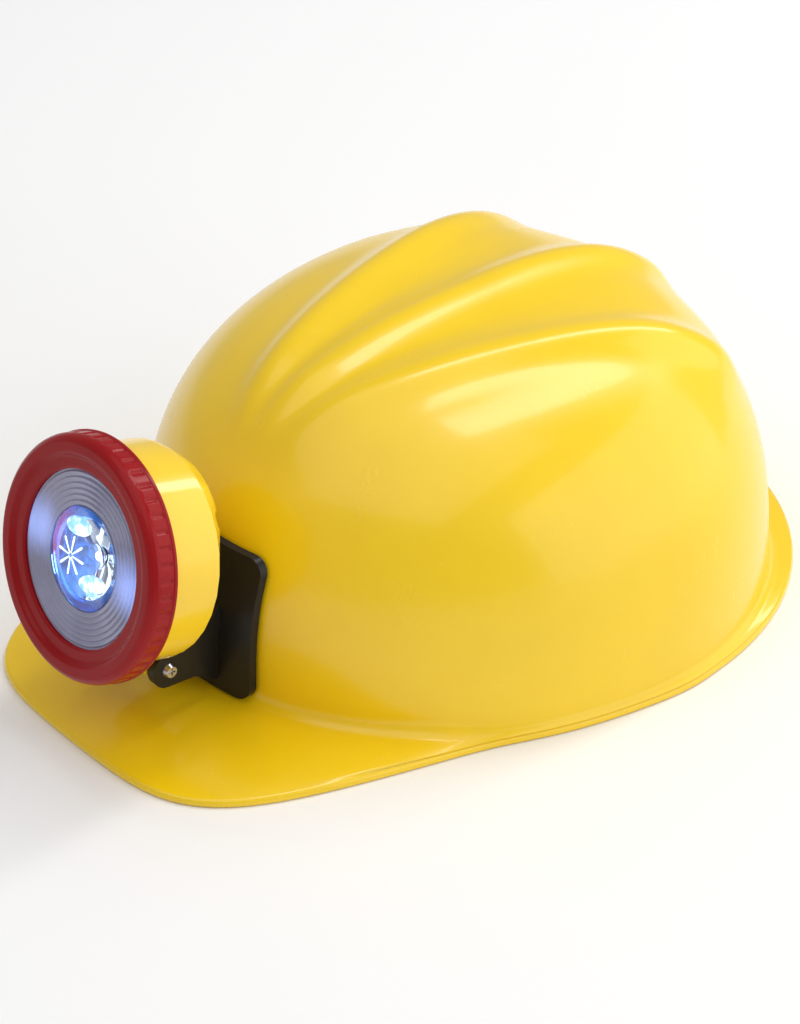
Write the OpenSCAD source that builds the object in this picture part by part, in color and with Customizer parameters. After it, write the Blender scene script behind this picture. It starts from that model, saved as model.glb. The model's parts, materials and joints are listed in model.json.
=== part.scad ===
// Miner's cap with a tilting headlamp, its bracket and its inner suspension.
// Millimetres. The cap rests on its rim on z = 0, the front faces -Y and +Z is up.

/* [Cap shell] */
// Half of the dome's width at its base
dome_half_w = 98.5; // [88:0.5:118.5]
// Dome length from its centre to the brow
dome_front = 113; // [100:0.5:130]
// Dome length from its centre to the nape
dome_rear = 94; // [88:0.5:112]
// Height of the dome's crown above the rim, without the ribs
dome_h = 101.4; // [94:0.2:122]
// Wall of the moulded shell
wall = 2.2; // [1.6:0.1:3]
// How square the dome is in plan, 2 being an ellipse
plan_power = 2.04; // [2:0.01:2.5]
// How full the dome's shoulders are, 1 being an ellipse
shoulder_power = 0.71; // [0.6:0.01:1]
// Height at which the dome starts above the rim
base_rise = 4.6; // [3.6:0.2:8]

/* [Rim and visor] */
// Reach of the visor in front of the brow
visor_reach = 50; // [35:0.5:65]
// Half width of the visor at the middle of its reach
visor_half_w = 67; // [56:0.5:76]
// How square the visor's front corners are
visor_square = 7.5; // [5:0.5:14]
// Widening of the visor's sides towards the ears, in degrees
visor_flare = 14; // [10:0.5:18]
// Lip around the sides of the dome
side_lip = 2.5; // [2:0.5:9]
// Lip behind the nape
rear_lip = 12.5; // [6:0.5:18]
// Depth of the turned edge all round the rim
edge_h = 2.6; // [2:0.1:4]

/* [Ribs] */
// Height of the three crown ribs
rib_h = 4.3; // [2:0.1:7]
// Width scale of one rib
rib_w = 9.5; // [6:0.5:12]
// Distance of the outer ribs from the middle at the crown
rib_spread = 35.5; // [28:0.5:42]

/* [Lamp] */
// Upward pitch of the lamp at rest, in degrees
lamp_pitch = 15; // [0:1:20]
// Outer radius of the bezel
bezel_r = 39.4; // [37:0.2:46]
// Radius of the raised crest around the bezel's face
crest_r = 36; // [34.5:0.2:37]
// Radius of the bezel's opening
opening_r = 28; // [25:0.2:29.5]
// Depth of the bezel along the lamp's axis
bezel_depth = 9.4; // [8.6:0.2:12]
// Outer radius of the lamp housing
housing_r = 34.5; // [34:0.1:36.5]
// Wall of the lamp housing
housing_wall = 2; // [1.6:0.1:2.2]
// Depth of the housing from the bezel's face to its rear joint
housing_depth = 27.5; // [26.5:0.5:34]
// Depth of the rear cover behind that joint
cover_depth = 9; // [8:0.5:12]
// Number of grip notches around the bezel
notch_count = 48; // [24:1:60]

/* [Hinge and bracket] */
// Radius of the hinge screw
pin_r = 1.6; // [1.25:0.05:2]
// Distance of the hinge axis in front of the brow
pin_reach = 21.3; // [18:0.1:28]
// Height of the hinge axis above the rim
pin_z = 22; // [20:0.5:28]
// Distance of the hinge axis below the housing
pin_drop = 2.6; // [1.5:0.1:5]
// Depth of the hinge axis behind the bezel's face
pin_depth = 35; // [33:0.5:40]
// Radius of the rounded ear ends
ear_r = 6.2; // [5:0.1:8]
// Thickness of each ear
ear_t = 3; // [2.4:0.1:4]
// Half of the gap between the two ears
ear_gap = 10.3; // [9:0.1:14]
// Half width of the bracket plate
plate_half_w = 26.5; // [24:0.5:34]
// Height of the bracket plate
plate_h = 50; // [44:0.5:56]
// Thickness of the bracket plate
plate_t = 2.6; // [2:0.1:4]
// Thickness of the pad between the plate and the shell
bracket_pad_t = 0.7; // [0.4:0.1:1.5]

/* [Suspension] */
// Gap between the shell and the headband at the sides
band_gap = 18.5; // [13:0.5:24]
// Gap between the shell and the headband at the brow and nape
band_end_gap = 9.5; // [8.5:0.5:16]
// Height of the headband
band_h = 26; // [20:1:32]
// Thickness of the headband
band_t = 1.8; // [1.4:0.1:2.4]
// Width of a crown strap
strap_w = 19; // [14:1:25]
// Thickness of a crown strap
strap_t = 1.6; // [1.2:0.1:2.2]
// Room between the crown straps and the shell
crown_room = 19; // [18:1:32]
// Thickness of the brow pad
pad_t = 4; // [2.5:0.5:6]

/* [Cells] */
// Radius of an AAA cell
cell_r = 5.25; // [5.25:0.05:5.25]
// Length of an AAA cell without its tip
cell_l = 43.3; // [43.3:0.1:43.3]

/* [Hidden] */
$fn = 96;

// ---- Colours
yellow = [0.98, 0.8, 0.1];
black = [0.05, 0.05, 0.055];
red = [0.66, 0.07, 0.06];
steel = [0.75, 0.76, 0.78];
grey = [0.3, 0.31, 0.33];

// ---- Fits
run_gap = 0.06;    // radial play of a shaft that turns
seat_gap = 0.1;    // play of a piece that only sits in its seat
side_play = 0.05;  // play of a washer between two faces

// ---- Where the whole object stands: half way along its length is y = 0
lamp_back = pin_depth * cos(lamp_pitch) - (housing_r + pin_drop) * sin(lamp_pitch);
face_front = dome_front + pin_reach + lamp_back + crest_r * sin(lamp_pitch);
front_reach = max(dome_front + visor_reach, face_front);
rear_reach = dome_rear + rear_lip;
dome_y = (front_reach - rear_reach) / 2;

// ---- Dome: every point is given by a plan angle a, a rise angle t and an inset from the outer face
function blend01(x) = let (k = max(0, min(1, x))) k * k * (3 - 2 * k);
function plan_r(a, inset) =
    pow(pow(abs(cos(a)) / (dome_half_w - inset), plan_power)
        + pow(abs(sin(a)) / ((sin(a) < 0 ? dome_front : dome_rear) - inset), plan_power), -1 / plan_power);
function base_z(a) = base_rise + (sin(a) < 0 ? 0.7 : -1) * sin(a) * sin(a);
function smooth_point(a, t, inset) =
    let (r = plan_r(a, inset) * pow(sin(t), shoulder_power), zb = base_z(a))
    [r * cos(a), r * sin(a), zb + (dome_h - inset - zb) * pow(max(0, cos(t)), shoulder_power)];

// The outer ribs start close together above the brow and fan out towards the nape
rib_fan = 0.92;
rib_root = 2;
function rib_x(y) =
    rib_spread * pow(max(0.001, (y + dome_front + rib_root) / (dome_front + rib_root)), rib_fan);
function bump(d) = exp(-(d * d) / (rib_w * rib_w));
function rib_fade(p) =
    let (back = blend01((p.y + dome_front / 2) / dome_front), low = dome_h * (0.74 - 0.12 * back))
    blend01((p.z - low) / (dome_h * 0.19));
function rib_lift(p) =
    rib_h * rib_fade(p) * max(bump(p.x), bump(p.x - rib_x(p.y)), bump(p.x + rib_x(p.y)));
function face_dir(p) =
    let (l = p.y < 0 ? dome_front : dome_rear,
         n = [p.x / (dome_half_w * dome_half_w), p.y / (l * l), p.z / (dome_h * dome_h)])
    n / norm(n);
function dome_point(a, t, inset) = let (p = smooth_point(a, t, inset)) p + face_dir(p) * rib_lift(p);

// ---- Rim outline: a bowed visor front and two flared sides with round corners, and a rounded nape
visor_tip = dome_front + visor_reach;
side_offset = visor_half_w * cos(visor_flare) + (dome_front + visor_reach / 2) * sin(visor_flare);
// Reach of the visor's outline at angle b, counted from straight ahead
function visor_r(b) =
    pow(pow(max(0.001, cos(b)) / visor_tip, visor_square)
        + pow(cos(90 - visor_flare - b) / side_offset, visor_square), -1 / visor_square);
function lip_r(a) =
    let (w = dome_half_w + side_lip, l = sin(a) < 0 ? dome_front + side_lip : dome_rear + rear_lip)
    pow(pow(abs(cos(a)) / w, plan_power) + pow(abs(sin(a)) / l, plan_power), -1 / plan_power);
function soft_max(p, q, k) = pow(pow(p, k) + pow(q, k), 1 / k);
// Behind the ears the rim is the nape curve; in front of them it is the visor, never narrower than a thin lip
min_lip = 1.6;
function rim_r(a) =
    let (k = blend01((sin(a) + 0.25) / 0.45), b = acos(max(-1, min(1, -sin(a)))))
    k * lip_r(a) + (1 - k) * (b > 100 ? lip_r(a) : soft_max(visor_r(b), plan_r(a, 0) + min_lip, 70));

// ---- Shell: one skin of rings, from the crown outside, round the rim and back to the crown inside
ring_n = 84;
outer_n = 26;
inner_n = 18;
function rise(i, n) = 45 * (1 - cos(180 * i / n));
function polar(r, a, z) = [r * cos(a), r * sin(a), z];
// Radial place and height of the visor's upper face, k going from the dome's base to the edge
function brim_point(a, k, drop) =
    let (r0 = plan_r(a, drop ? wall : 0), r1 = rim_r(a) - (drop ? wall : 0),
         z0 = base_z(a) - (drop ? wall * 0.6 : 0), z1 = edge_h - (drop ? wall : 0) + (drop ? 0.8 : 0),
         r = r0 + (r1 - r0) * k)
    polar(r, a, z0 + (z1 - z0) * (k * k * 0.45 + k * 0.55));
brim_steps = [0.12, 0.35, 0.62, 0.85, 1];
function ring(f) = [for (i = [0 : ring_n - 1]) f(360 * i / ring_n)];
shell_rings = concat(
    [for (i = [1 : outer_n]) ring(function (a) dome_point(a, rise(i, outer_n), 0))],
    [for (k = brim_steps) ring(function (a) brim_point(a, k, false))],
    [ring(function (a) polar(rim_r(a) + 0.35, a, edge_h * 0.6))],
    [ring(function (a) polar(rim_r(a), a, 0))],
    [ring(function (a) polar(rim_r(a) - wall * 0.8, a, 0))],
    [for (i = [len(brim_steps) - 1 : -1 : 0]) ring(function (a) brim_point(a, brim_steps[i], true))],
    [for (i = [inner_n : -1 : 1]) ring(function (a) dome_point(a, rise(i, inner_n), wall))]);
shell_points = concat([[0, 0, dome_h + rib_h]],
                      [for (r = shell_rings) each r],
                      [[0, 0, dome_h - wall + rib_h]]);
ring_count = len(shell_rings);
function at(j, i) = 1 + j * ring_n + (i % ring_n);
shell_faces = concat(
    [for (i = [0 : ring_n - 1]) [0, at(0, i + 1), at(0, i)]],
    [for (j = [0 : ring_count - 2], i = [0 : ring_n - 1])
        each [[at(j, i), at(j, i + 1), at(j + 1, i + 1)], [at(j, i), at(j + 1, i + 1), at(j + 1, i)]]],
    [for (i = [0 : ring_n - 1])
        [len(shell_points) - 1, at(ring_count - 1, i), at(ring_count - 1, i + 1)]]);

// ---- Bracket: a plate that follows the brow, with two ears at its foot
plate_foot = 6.5;
plate_roll = 97;
plate_corner = 6;
bolt_low = 19;
bolt_high = 44;
bolt_r = 2;
brow = dome_y - dome_front;
// The brow's own profile: distance behind its foremost point at each height
function brow_set(t) = dome_front * (1 - pow(sin(t), shoulder_power));
function brow_z(t) = base_z(270) + (dome_h - base_z(270)) * pow(max(0, cos(t)), shoulder_power);
brow_t = [for (t = [90, 89.5, 88.5, 87, 85, 82, 78, 74, 70, 66, 62, 58, 54]) t];
// A sheet of thickness t that stands gap off the shell, rolled about a vertical line behind the brow
module brow_sheet(gap, t) {
    translate([0, brow + plate_roll, 0]) rotate_extrude($fn = 240) polygon(concat(
        [[plate_roll + gap, 0], [plate_roll + gap + t, 0]],
        [for (t0 = brow_t) [plate_roll + gap + t - brow_set(t0), brow_z(t0)]],
        [for (i = [len(brow_t) - 1 : -1 : 0]) [plate_roll + gap - brow_set(brow_t[i]), brow_z(brow_t[i])]]));
}
module rounded_panel(w, h, r) {
    translate([0, brow + 12, 0]) rotate([90, 0, 0]) linear_extrude(40) {
        translate([-w, r]) square([2 * w, h - 2 * r]);
        translate([-w + r, 0]) square([2 * (w - r), h]);
        for (x = [-w + r, w - r], y = [r, h - r]) translate([x, y]) circle(r);
    }
}
// How far the brow has set back at height z, and how much it leans there
function brow_at(z) = lookup(z, [for (t = brow_t) [brow_z(t), brow_set(t)]]);
function brow_lean(z) = atan((brow_at(z + 4) - brow_at(z - 4)) / 8);
// z forward out of the brow at each bracket screw, with 0 on the shell's surface there
module bolt_places() {
    for (z = [bolt_low, bolt_high])
        translate([0, brow + brow_at(z), z]) rotate([90 - brow_lean(z), 0, 0]) children();
}

// ---- Hinge and lamp places
pin_y = brow - pin_reach;
lug_half = ear_gap - 0.45;
module at_pin() { translate([0, pin_y, pin_z]) children(); }
// The lamp's own frame: z forward along its axis with 0 on the bezel's face, y up, x sideways
module at_lamp() {
    at_pin() rotate([90 - lamp_pitch, 0, 0]) translate([0, housing_r + pin_drop, pin_depth]) children();
}
module tube(ro, ri, z0, z1) {
    translate([0, 0, z0]) difference() {
        cylinder(r = ro, h = z1 - z0);
        translate([0, 0, -1]) cylinder(r = ri, h = z1 - z0 + 2);
    }
}
module disc(r, z0, z1) { translate([0, 0, z0]) cylinder(r = r, h = z1 - z0); }

// ---- Depths inside the lamp, counted back from the bezel's face
lens_front = 3.2;
lens_t = 2;
lens_r = opening_r + 2.5;
neck_r = housing_r - 1.5;
neck_front = lens_front + lens_t + 0.9;
bezel_bore = neck_r + run_gap;
flange_z = neck_front + 0.5;
cup_r = 16.5;
cup_depth = 10;
bore_r = housing_r - housing_wall;
board_z = flange_z + cup_depth + 1.2;
board_t = 1.2;
tray_z = board_z + board_t + 0.1;
tray_floor = 1;
cell_z = tray_z + tray_floor + cell_r + 0.1;
cell_pitch = 2 * cell_r + 0.9;
cover_lift = 6;
cover_end_r = 24;

// ============================ Cap ============================
module helmet_shell() {
    color(yellow) difference() {
        translate([0, dome_y, 0]) polyhedron(shell_points, shell_faces, convexity = 6);
        bolt_places() translate([0, 0, -10]) cylinder(r = bolt_r + 0.2, h = 16, $fn = 32);
    }
}

// Ovals that follow the inside of the shell at a given gap, one point every two degrees
function oval_w(gap) = dome_half_w - wall - gap;
function oval_l(a, gap) = (sin(a) < 0 ? dome_front : dome_rear) - wall - gap;
function oval(gap_side, gap_end, from, to) =
    [for (a = [from : 2 : to]) [oval_w(gap_side) * cos(a), oval_l(a, gap_end) * sin(a)]];
function reversed(v) = [for (i = [len(v) - 1 : -1 : 0]) v[i]];
module band(inward, t, from, to, z0, h) {
    g0 = band_gap + inward;
    g1 = band_end_gap + inward;
    translate([0, dome_y, z0]) linear_extrude(h)
        polygon(concat(oval(g0, g1, from, to), reversed(oval(g0 + t, g1 + t, from, to))));
}
// A point on the headband's outer face, with z along the outward direction there
module on_band(a, z) {
    w = oval_w(band_gap);
    l = oval_l(a, band_end_gap);
    translate([w * cos(a), dome_y + l * sin(a), z]) rotate([90, 0, 90 + atan2(sin(a) * w, cos(a) * l)]) children();
}
band_z = 4;
nape_from = 62;
nape_to = 118;
overlap = 16;
peg_z = band_z + band_h / 2;
peg_r = 1.7;
module peg_places() {
    for (a = [nape_from - overlap / 2, nape_to + overlap / 2], dz = [-5, 5]) on_band(a, peg_z + dz) children();
}

// ---- Four clips hold two straps, which cross under the crown, and the headband
strap_line = 41;
// The oval's own angle at which a strap's straight line crosses it
function line_angle(b) = atan2(sin(b) / oval_l(b, band_end_gap), cos(b) / oval_w(band_gap));
clip_angles = [for (b = [180 + strap_line, 360 - strap_line, strap_line, 180 - strap_line]) line_angle(b)];
clip_w = 15;
clip_pad_t = 2;
clip_foot = 7;
stud_r = 3;
stud_z = band_z + band_h / 2;
strap_foot = 26;
strap_out = 4.8;   // from the headband outwards to the strap's outer face
strap_top = dome_h - wall - crown_room;
strap_stack = 0.75;
module headband() {
    color(grey) difference() {
        band(0, band_t, nape_to, 360 + nape_from, band_z, band_h);
        peg_places() cylinder(r = peg_r + 0.05, h = 12, center = true, $fn = 24);
        for (a = clip_angles) on_band(a, stud_z) cylinder(r = stud_r + seat_gap, h = 12, center = true, $fn = 32);
    }
}
module nape_strap() {
    color(grey) difference() {
        band(-band_t - 0.15, band_t, nape_from - overlap, nape_to + overlap, band_z + 3, band_h - 6);
        peg_places() cylinder(r = peg_r + 0.05, h = 12, center = true, $fn = 24);
    }
}
module nape_pegs() {
    color(grey) peg_places() {
        translate([0, 0, -band_t - 0.4]) cylinder(r = peg_r, h = 2 * band_t + 1, $fn = 24);
        translate([0, 0, band_t + 0.35]) cylinder(r = peg_r + 1.2, h = 1, $fn = 24);
    }
}
module sweatband() {
    color([0.12, 0.12, 0.13]) band(band_t + 0.15, pad_t, 202, 338, band_z - 1, band_h + 3);
}

// Distance from the dome's centre to a strap's foot; the front half of a strap is the longer one
function strap_end(a) =
    norm([(oval_w(band_gap) + strap_out) * cos(a), (oval_l(a, band_end_gap) + strap_out) * sin(a)]);
function arch(x0, x1, top, inset) =
    [for (i = [0 : 40]) let (x = -cos(180 * i / 40))
        [x < 0 ? x * (x0 - inset) : x * (x1 - inset), strap_foot + (top - inset - strap_foot) * sin(180 * i / 40)]];
module arch_strap(front_clip, back_clip, line, top) {
    front = strap_end(clip_angles[front_clip]);
    back = strap_end(clip_angles[back_clip]);
    translate([0, dome_y, 0]) rotate([90, 0, line]) linear_extrude(strap_w, center = true)
        polygon(concat(arch(front, back, top, 0), reversed(arch(front, back, top, strap_t))));
}
module crown_strap_left() { color([0.16, 0.17, 0.18]) arch_strap(0, 2, strap_line, strap_top); }
module crown_strap_right() {
    color([0.16, 0.17, 0.18]) arch_strap(1, 3, 180 - strap_line, strap_top - strap_t - strap_stack);
}

// A clip: a pad glued to the shell, a ledge that carries the strap's foot and a stud for the headband
module clip(i) {
    a = clip_angles[i];
    to_wall = wall_gap(a);
    color(grey) {
        on_band(a, 0) translate([-clip_w / 2, clip_foot, 0]) {
            translate([0, 0, to_wall - clip_pad_t]) cube([clip_w, strap_foot + 4 - clip_foot, clip_pad_t]);
            translate([0, strap_foot - 6.05 - clip_foot, 0.2]) cube([clip_w, 6, to_wall - 1]);
            translate([3, 0, 2]) cube([clip_w - 6, 5, to_wall - 3]);
            translate([0, 0, 0.2]) cube([clip_w, strap_foot - 6 - clip_foot, 2]);
        }
        on_band(a, stud_z) translate([0, 0, -band_t + 0.1]) cylinder(r = stud_r, h = band_t + 0.5, $fn = 32);
    }
}
// How far out of the shell's inner face a point lies at height z, below 1 being inside
function inner_reach(p, z) =
    let (zb = base_z(atan2(p.y, p.x)), share = max(0, (z - zb) / (dome_h - wall - zb)),
         lean = pow(sin(acos(pow(share, 1 / shoulder_power))), shoulder_power),
         l = (p.y < 0 ? dome_front : dome_rear) - wall)
    pow(pow(abs(p.x) / (dome_half_w - wall), plan_power) + pow(abs(p.y) / l, plan_power), 1 / plan_power) / lean;
// Room from p along d to that face, found by halving
function room(p, d, z, low, high, n) =
    n == 0 ? low
    : let (m = (low + high) / 2) inner_reach(p + d * m, z) < 1 ? room(p, d, z, m, high, n - 1)
                                                               : room(p, d, z, low, m, n - 1);
// Distance from the headband's outer face to the shell at a clip's top corners
function wall_gap(a) =
    let (w = oval_w(band_gap), l = oval_l(a, band_end_gap), out = atan2(sin(a) * w, cos(a) * l),
         p = [w * cos(a), l * sin(a)], d = [cos(out), sin(out)], side = [-sin(out), cos(out)] * clip_w / 2)
    min(room(p - side, d, strap_foot + 4, 0, 40, 18), room(p + side, d, strap_foot + 4, 0, 40, 18)) - 0.12;
module clip_1() { clip(0); }
module clip_2() { clip(1); }
module clip_3() { clip(2); }
module clip_4() { clip(3); }

// ============================ Bracket ============================
pad_gap = 0.35;    // the brow is a little fuller than the rolled plate
plate_gap = pad_gap + bracket_pad_t + 0.14;
ear_root_low = 3;
ear_root_high = 22;
module ear_outline() {
    // x forward from the plate's foot, y up; the ear narrows from the plate to the hinge
    drop = pin_z - plate_foot;
    translate([pin_reach, drop]) circle(ear_r);
    polygon([[plate_gap + 0.5, ear_root_low], [pin_reach * 0.55, drop - ear_r - 0.6], [pin_reach, drop - ear_r],
             [pin_reach, drop + ear_r], [pin_reach * 0.45, drop + ear_r + 1], [plate_gap, ear_root_high + 9]]);
}
module bracket() {
    color(black) difference() {
        union() {
            intersection() {
                brow_sheet(plate_gap, plate_t);
                translate([0, 0, plate_foot]) rounded_panel(plate_half_w, plate_h, plate_corner);
            }
            for (x = [-ear_gap - ear_t, ear_gap])
                translate([x, brow, plate_foot]) rotate([90, 0, -90]) mirror([0, 0, 1]) linear_extrude(ear_t)
                    ear_outline();
        }
        at_pin() rotate([0, 90, 0]) cylinder(r = pin_r + 0.05, h = 80, center = true, $fn = 32);
        bolt_places() cylinder(r = bolt_r + 0.1, h = 40, center = true, $fn = 32);
        brow_sheet(plate_gap - 20, 20);
    }
}
module bracket_pad() {
    color(black) difference() {
        intersection() {
            brow_sheet(pad_gap, bracket_pad_t);
            translate([0, 0, plate_foot + 4]) rounded_panel(plate_half_w - 5, plate_h - 10, 4);
        }
        bolt_places() cylinder(r = bolt_r + 0.1, h = 40, center = true, $fn = 32);
    }
}
head_at = plate_gap + plate_t + 0.12;
module bracket_screws() {
    color(steel) bolt_places() {
        translate([0, 0, -8.2]) cylinder(r = bolt_r, h = 8.2 + head_at + 0.1, $fn = 32);
        difference() {
            translate([0, 0, head_at]) cylinder(r1 = 3.8, r2 = 3.1, h = 2.2, $fn = 48);
            translate([0, 0, head_at + 1.2]) for (a = [0, 90]) rotate([0, 0, a])
                translate([-2.3, -0.4, 0]) cube([4.6, 0.8, 3]);
        }
    }
}
washer_back = wall + 1.5;
module bracket_washers() { color(steel) bolt_places() tube(5, bolt_r + 0.05, -washer_back - 0.8, -washer_back); }
module bracket_nuts() {
    color(steel) bolt_places() translate([0, 0, -washer_back - 4]) difference() {
        cylinder(r = 4.1, h = 3.15, $fn = 6);
        translate([0, 0, -1]) cylinder(r = bolt_r, h = 6, $fn = 32);
    }
}

// ---- Hinge
module hinge_screw() {
    color(steel) at_pin() rotate([0, 90, 0]) {
        translate([0, 0, -ear_gap - ear_t - 3.4]) cylinder(r = pin_r, h = 2 * ear_gap + 2 * ear_t + 3.6, $fn = 48);
        difference() {
            translate([0, 0, ear_gap + ear_t + 0.05]) cylinder(r1 = pin_r + 0.9, r2 = pin_r + 0.3, h = 1.5, $fn = 48);
            for (a = [0, 90]) rotate([0, 0, a])
                translate([-1.3, -0.3, ear_gap + ear_t + 0.85]) cube([2.6, 0.6, 2]);
        }
    }
}
module hinge_nut() {
    color(steel) at_pin() rotate([0, 90, 0]) translate([0, 0, -ear_gap - ear_t - 2.5]) difference() {
        cylinder(r = 3.2, h = 2.4, $fn = 6);
        translate([0, 0, -1]) cylinder(r = pin_r, h = 5, $fn = 32);
    }
}
module friction_washers() {
    color([0.8, 0.78, 0.7]) at_pin() rotate([0, 90, 0]) for (s = [-1, 1])
        tube(4.6, pin_r + run_gap, s > 0 ? lug_half + side_play : -ear_gap + side_play,
             s > 0 ? ear_gap - side_play : -lug_half - side_play);
}

// ============================ Lamp ============================
lug_r = 4.9;
module lug_arm() {
    // joins the hinge barrel to the underside of the housing's rear
    translate([-lug_half, 0, 0]) rotate([90, 0, 90]) linear_extrude(2 * lug_half)
        polygon([[-(housing_r - 1), -(housing_depth - 11)], [-(housing_r - 1), -housing_depth],
                 [-(housing_r + pin_drop) + lug_r * 0.72, -pin_depth - lug_r * 0.69],
                 [-(housing_r + pin_drop) - lug_r * 0.72, -pin_depth + lug_r * 0.69]]);
}
module lamp_housing() {
    color(yellow) at_lamp() difference() {
        union() {
            disc(neck_r, -bezel_depth - 0.25, -neck_front);
            disc(housing_r, -housing_depth, -bezel_depth - 0.25);
            lug_arm();
            translate([0, -housing_r - pin_drop, -pin_depth]) rotate([0, 90, 0])
                cylinder(r = lug_r, h = 2 * lug_half, center = true);
        }
        disc(neck_r - 1.8, -flange_z - 1.05, -neck_front + 1);
        disc(neck_r - 3.2, -flange_z - 3, -flange_z);
        difference() {
            disc(bore_r, -housing_depth - 1, -flange_z - 2.6);
            cover_screw_places() disc(4.6, -housing_depth + 2.5, -board_z - board_t - 0.5);
        }
        cover_screw_places() disc(cover_screw_r, -housing_depth - 1, -board_z - board_t - 1.5);
        translate([0, -housing_r - pin_drop, -pin_depth]) rotate([0, 90, 0])
            cylinder(r = pin_r + run_gap, h = 60, center = true, $fn = 48);
        // room for the rear cover above the lug
        translate([0, 0, -60]) cylinder(r = housing_r + 0.1, h = 60 - housing_depth);
    }
}

cover_screw_r = 1.2;
cover_screw_at = housing_r - housing_wall - 4.5;
module cover_screw_places() {
    for (a = [42, 138, 230, 310]) rotate([0, 0, a]) translate([cover_screw_at, 0, 0]) children();
}
module cover_body(inset) {
    hull() {
        translate([0, 0, -housing_depth - 2]) cylinder(r = housing_r - 0.3 - inset, h = 1.8, $fn = 32);
        translate([0, cover_lift, -housing_depth - cover_depth + inset])
            cylinder(r = cover_end_r - inset, h = 1, $fn = 32);
    }
}
module rear_cover() {
    color(yellow) at_lamp() difference() {
        union() {
            cover_body(0);
            translate([0, 0, -housing_depth - 1]) cylinder(r = bore_r - seat_gap, h = 2.2);
        }
        difference() {
            union() {
                cover_body(1.8);
                disc(bore_r - 2, -housing_depth - 3, -housing_depth + 2);
            }
            cover_screw_places() disc(3.4, -housing_depth - 20, -housing_depth + 3);
        }
        cover_screw_places() disc(cover_screw_r + 0.15, -housing_depth - 30, 0);
        cover_screw_places() disc(2.6, -housing_depth - 30, -housing_depth - 2.8);
        translate([0, -housing_r - pin_drop, -pin_depth]) rotate([0, 90, 0])
            cylinder(r = lug_r + 0.6, h = 60, center = true);
    }
}
module cover_seal() {
    color([0.1, 0.1, 0.1]) at_lamp()
        tube(bore_r - 0.1, bore_r - 1.6, -housing_depth + 1.25, -housing_depth + 2.4);
}
module cover_screws() {
    color(steel) at_lamp() cover_screw_places() {
        disc(cover_screw_r, -housing_depth - 2.8, -housing_depth + 6);
        difference() {
            disc(2.3, -housing_depth - 4.1, -housing_depth - 2.85);
            for (a = [0, 90]) rotate([0, 0, a])
                translate([-1.5, -0.3, -housing_depth - 4.6]) cube([3, 0.6, 1.1]);
        }
    }
}

notch_w = 2.4;
notch_d = 0.6;
lip_h = 1.4;    // the plain lip behind the grip band
module bezel_ring() {
    back = -bezel_depth;
    color(red) at_lamp() difference() {
        rotate_extrude($fn = 144) polygon([
            [opening_r, -lens_front], [opening_r, -2.6], [opening_r + 3, -1.9], [crest_r - 2.4, -0.55],
            [crest_r - 1, -0.1], [crest_r, 0], [crest_r + 0.9, -0.3], [bezel_r - 1.6, -1.3],
            [bezel_r - 0.7, -2.4], [bezel_r - 0.3, -3.2], [bezel_r - 0.3, back + lip_h],
            [bezel_r, back + lip_h - 0.3], [bezel_r, back], [bezel_bore, back],
            [bezel_bore, -lens_front - lens_t - 0.4], [lens_r + seat_gap, -lens_front - lens_t - 0.4],
            [lens_r + seat_gap, -lens_front]]);
        for (i = [0 : notch_count - 1]) rotate([0, 0, 360 * i / notch_count])
            translate([bezel_r - 0.3 - notch_d, -notch_w / 2, back + lip_h + 0.4])
                cube([3, notch_w, bezel_depth - lip_h - 4.2]);
    }
}

ring_steps = 6;
function ripple(k) = 0.32 * (1 - abs(2 * (k * ring_steps - floor(k * ring_steps)) - 1));
bulge_h = 1.9;
module lens() {
    // a clear bulge in the middle, stepped rings around it and a plain seat at the edge
    n = ring_steps * 4;
    color([0.8, 0.85, 0.95, 0.5]) at_lamp() rotate_extrude($fn = 96) polygon(concat(
        [[0, -lens_front - lens_t], [0, -lens_front + bulge_h]],
        [for (i = [1 : 8]) let (k = i / 8)
            [cup_r * 0.94 * k, -lens_front - 0.35 + (bulge_h + 0.35) * (1 - k * k)]],
        [for (i = [0 : n]) let (k = i / n)
            [cup_r + (opening_r - 0.6 - cup_r) * k, -lens_front - 0.35 + ripple(min(k, 0.999))]],
        [[opening_r - 0.3, -lens_front - 0.05], [lens_r, -lens_front - 0.05], [lens_r, -lens_front - lens_t]]));
}
module lens_seal() {
    color([0.1, 0.1, 0.1]) at_lamp()
        tube(lens_r - 0.2, neck_r - 4.2, -lens_front - lens_t - 0.85, -lens_front - lens_t - 0.05);
}

post_at = 19;
module post_places() { for (a = [90, 210, 330]) rotate([0, 0, a]) translate([post_at, 0, 0]) children(); }
module reflector() {
    color([0.85, 0.86, 0.88]) at_lamp() difference() {
        union() {
            reflector_cup();
            post_places() disc(2.6, -board_z, -flange_z - 0.5);
        }
        post_places() disc(1.25, -board_z - 1, -flange_z - 4);
    }
}
module reflector_cup() {
    rotate_extrude() polygon([
        [cup_r, -flange_z + 0.4], [neck_r - 2, -flange_z + 0.4], [neck_r - 2, -flange_z - 1],
        [cup_r + 1.2, -flange_z - 1],
        [cup_r * 0.93, -flange_z - cup_depth * 0.5], [5.4, -flange_z - cup_depth], [3.4, -flange_z - cup_depth],
        [3.4, -flange_z - cup_depth + 0.9], [cup_r * 0.55, -flange_z - cup_depth * 0.7],
        [cup_r * 0.84, -flange_z - cup_depth * 0.38]]);
}
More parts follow.
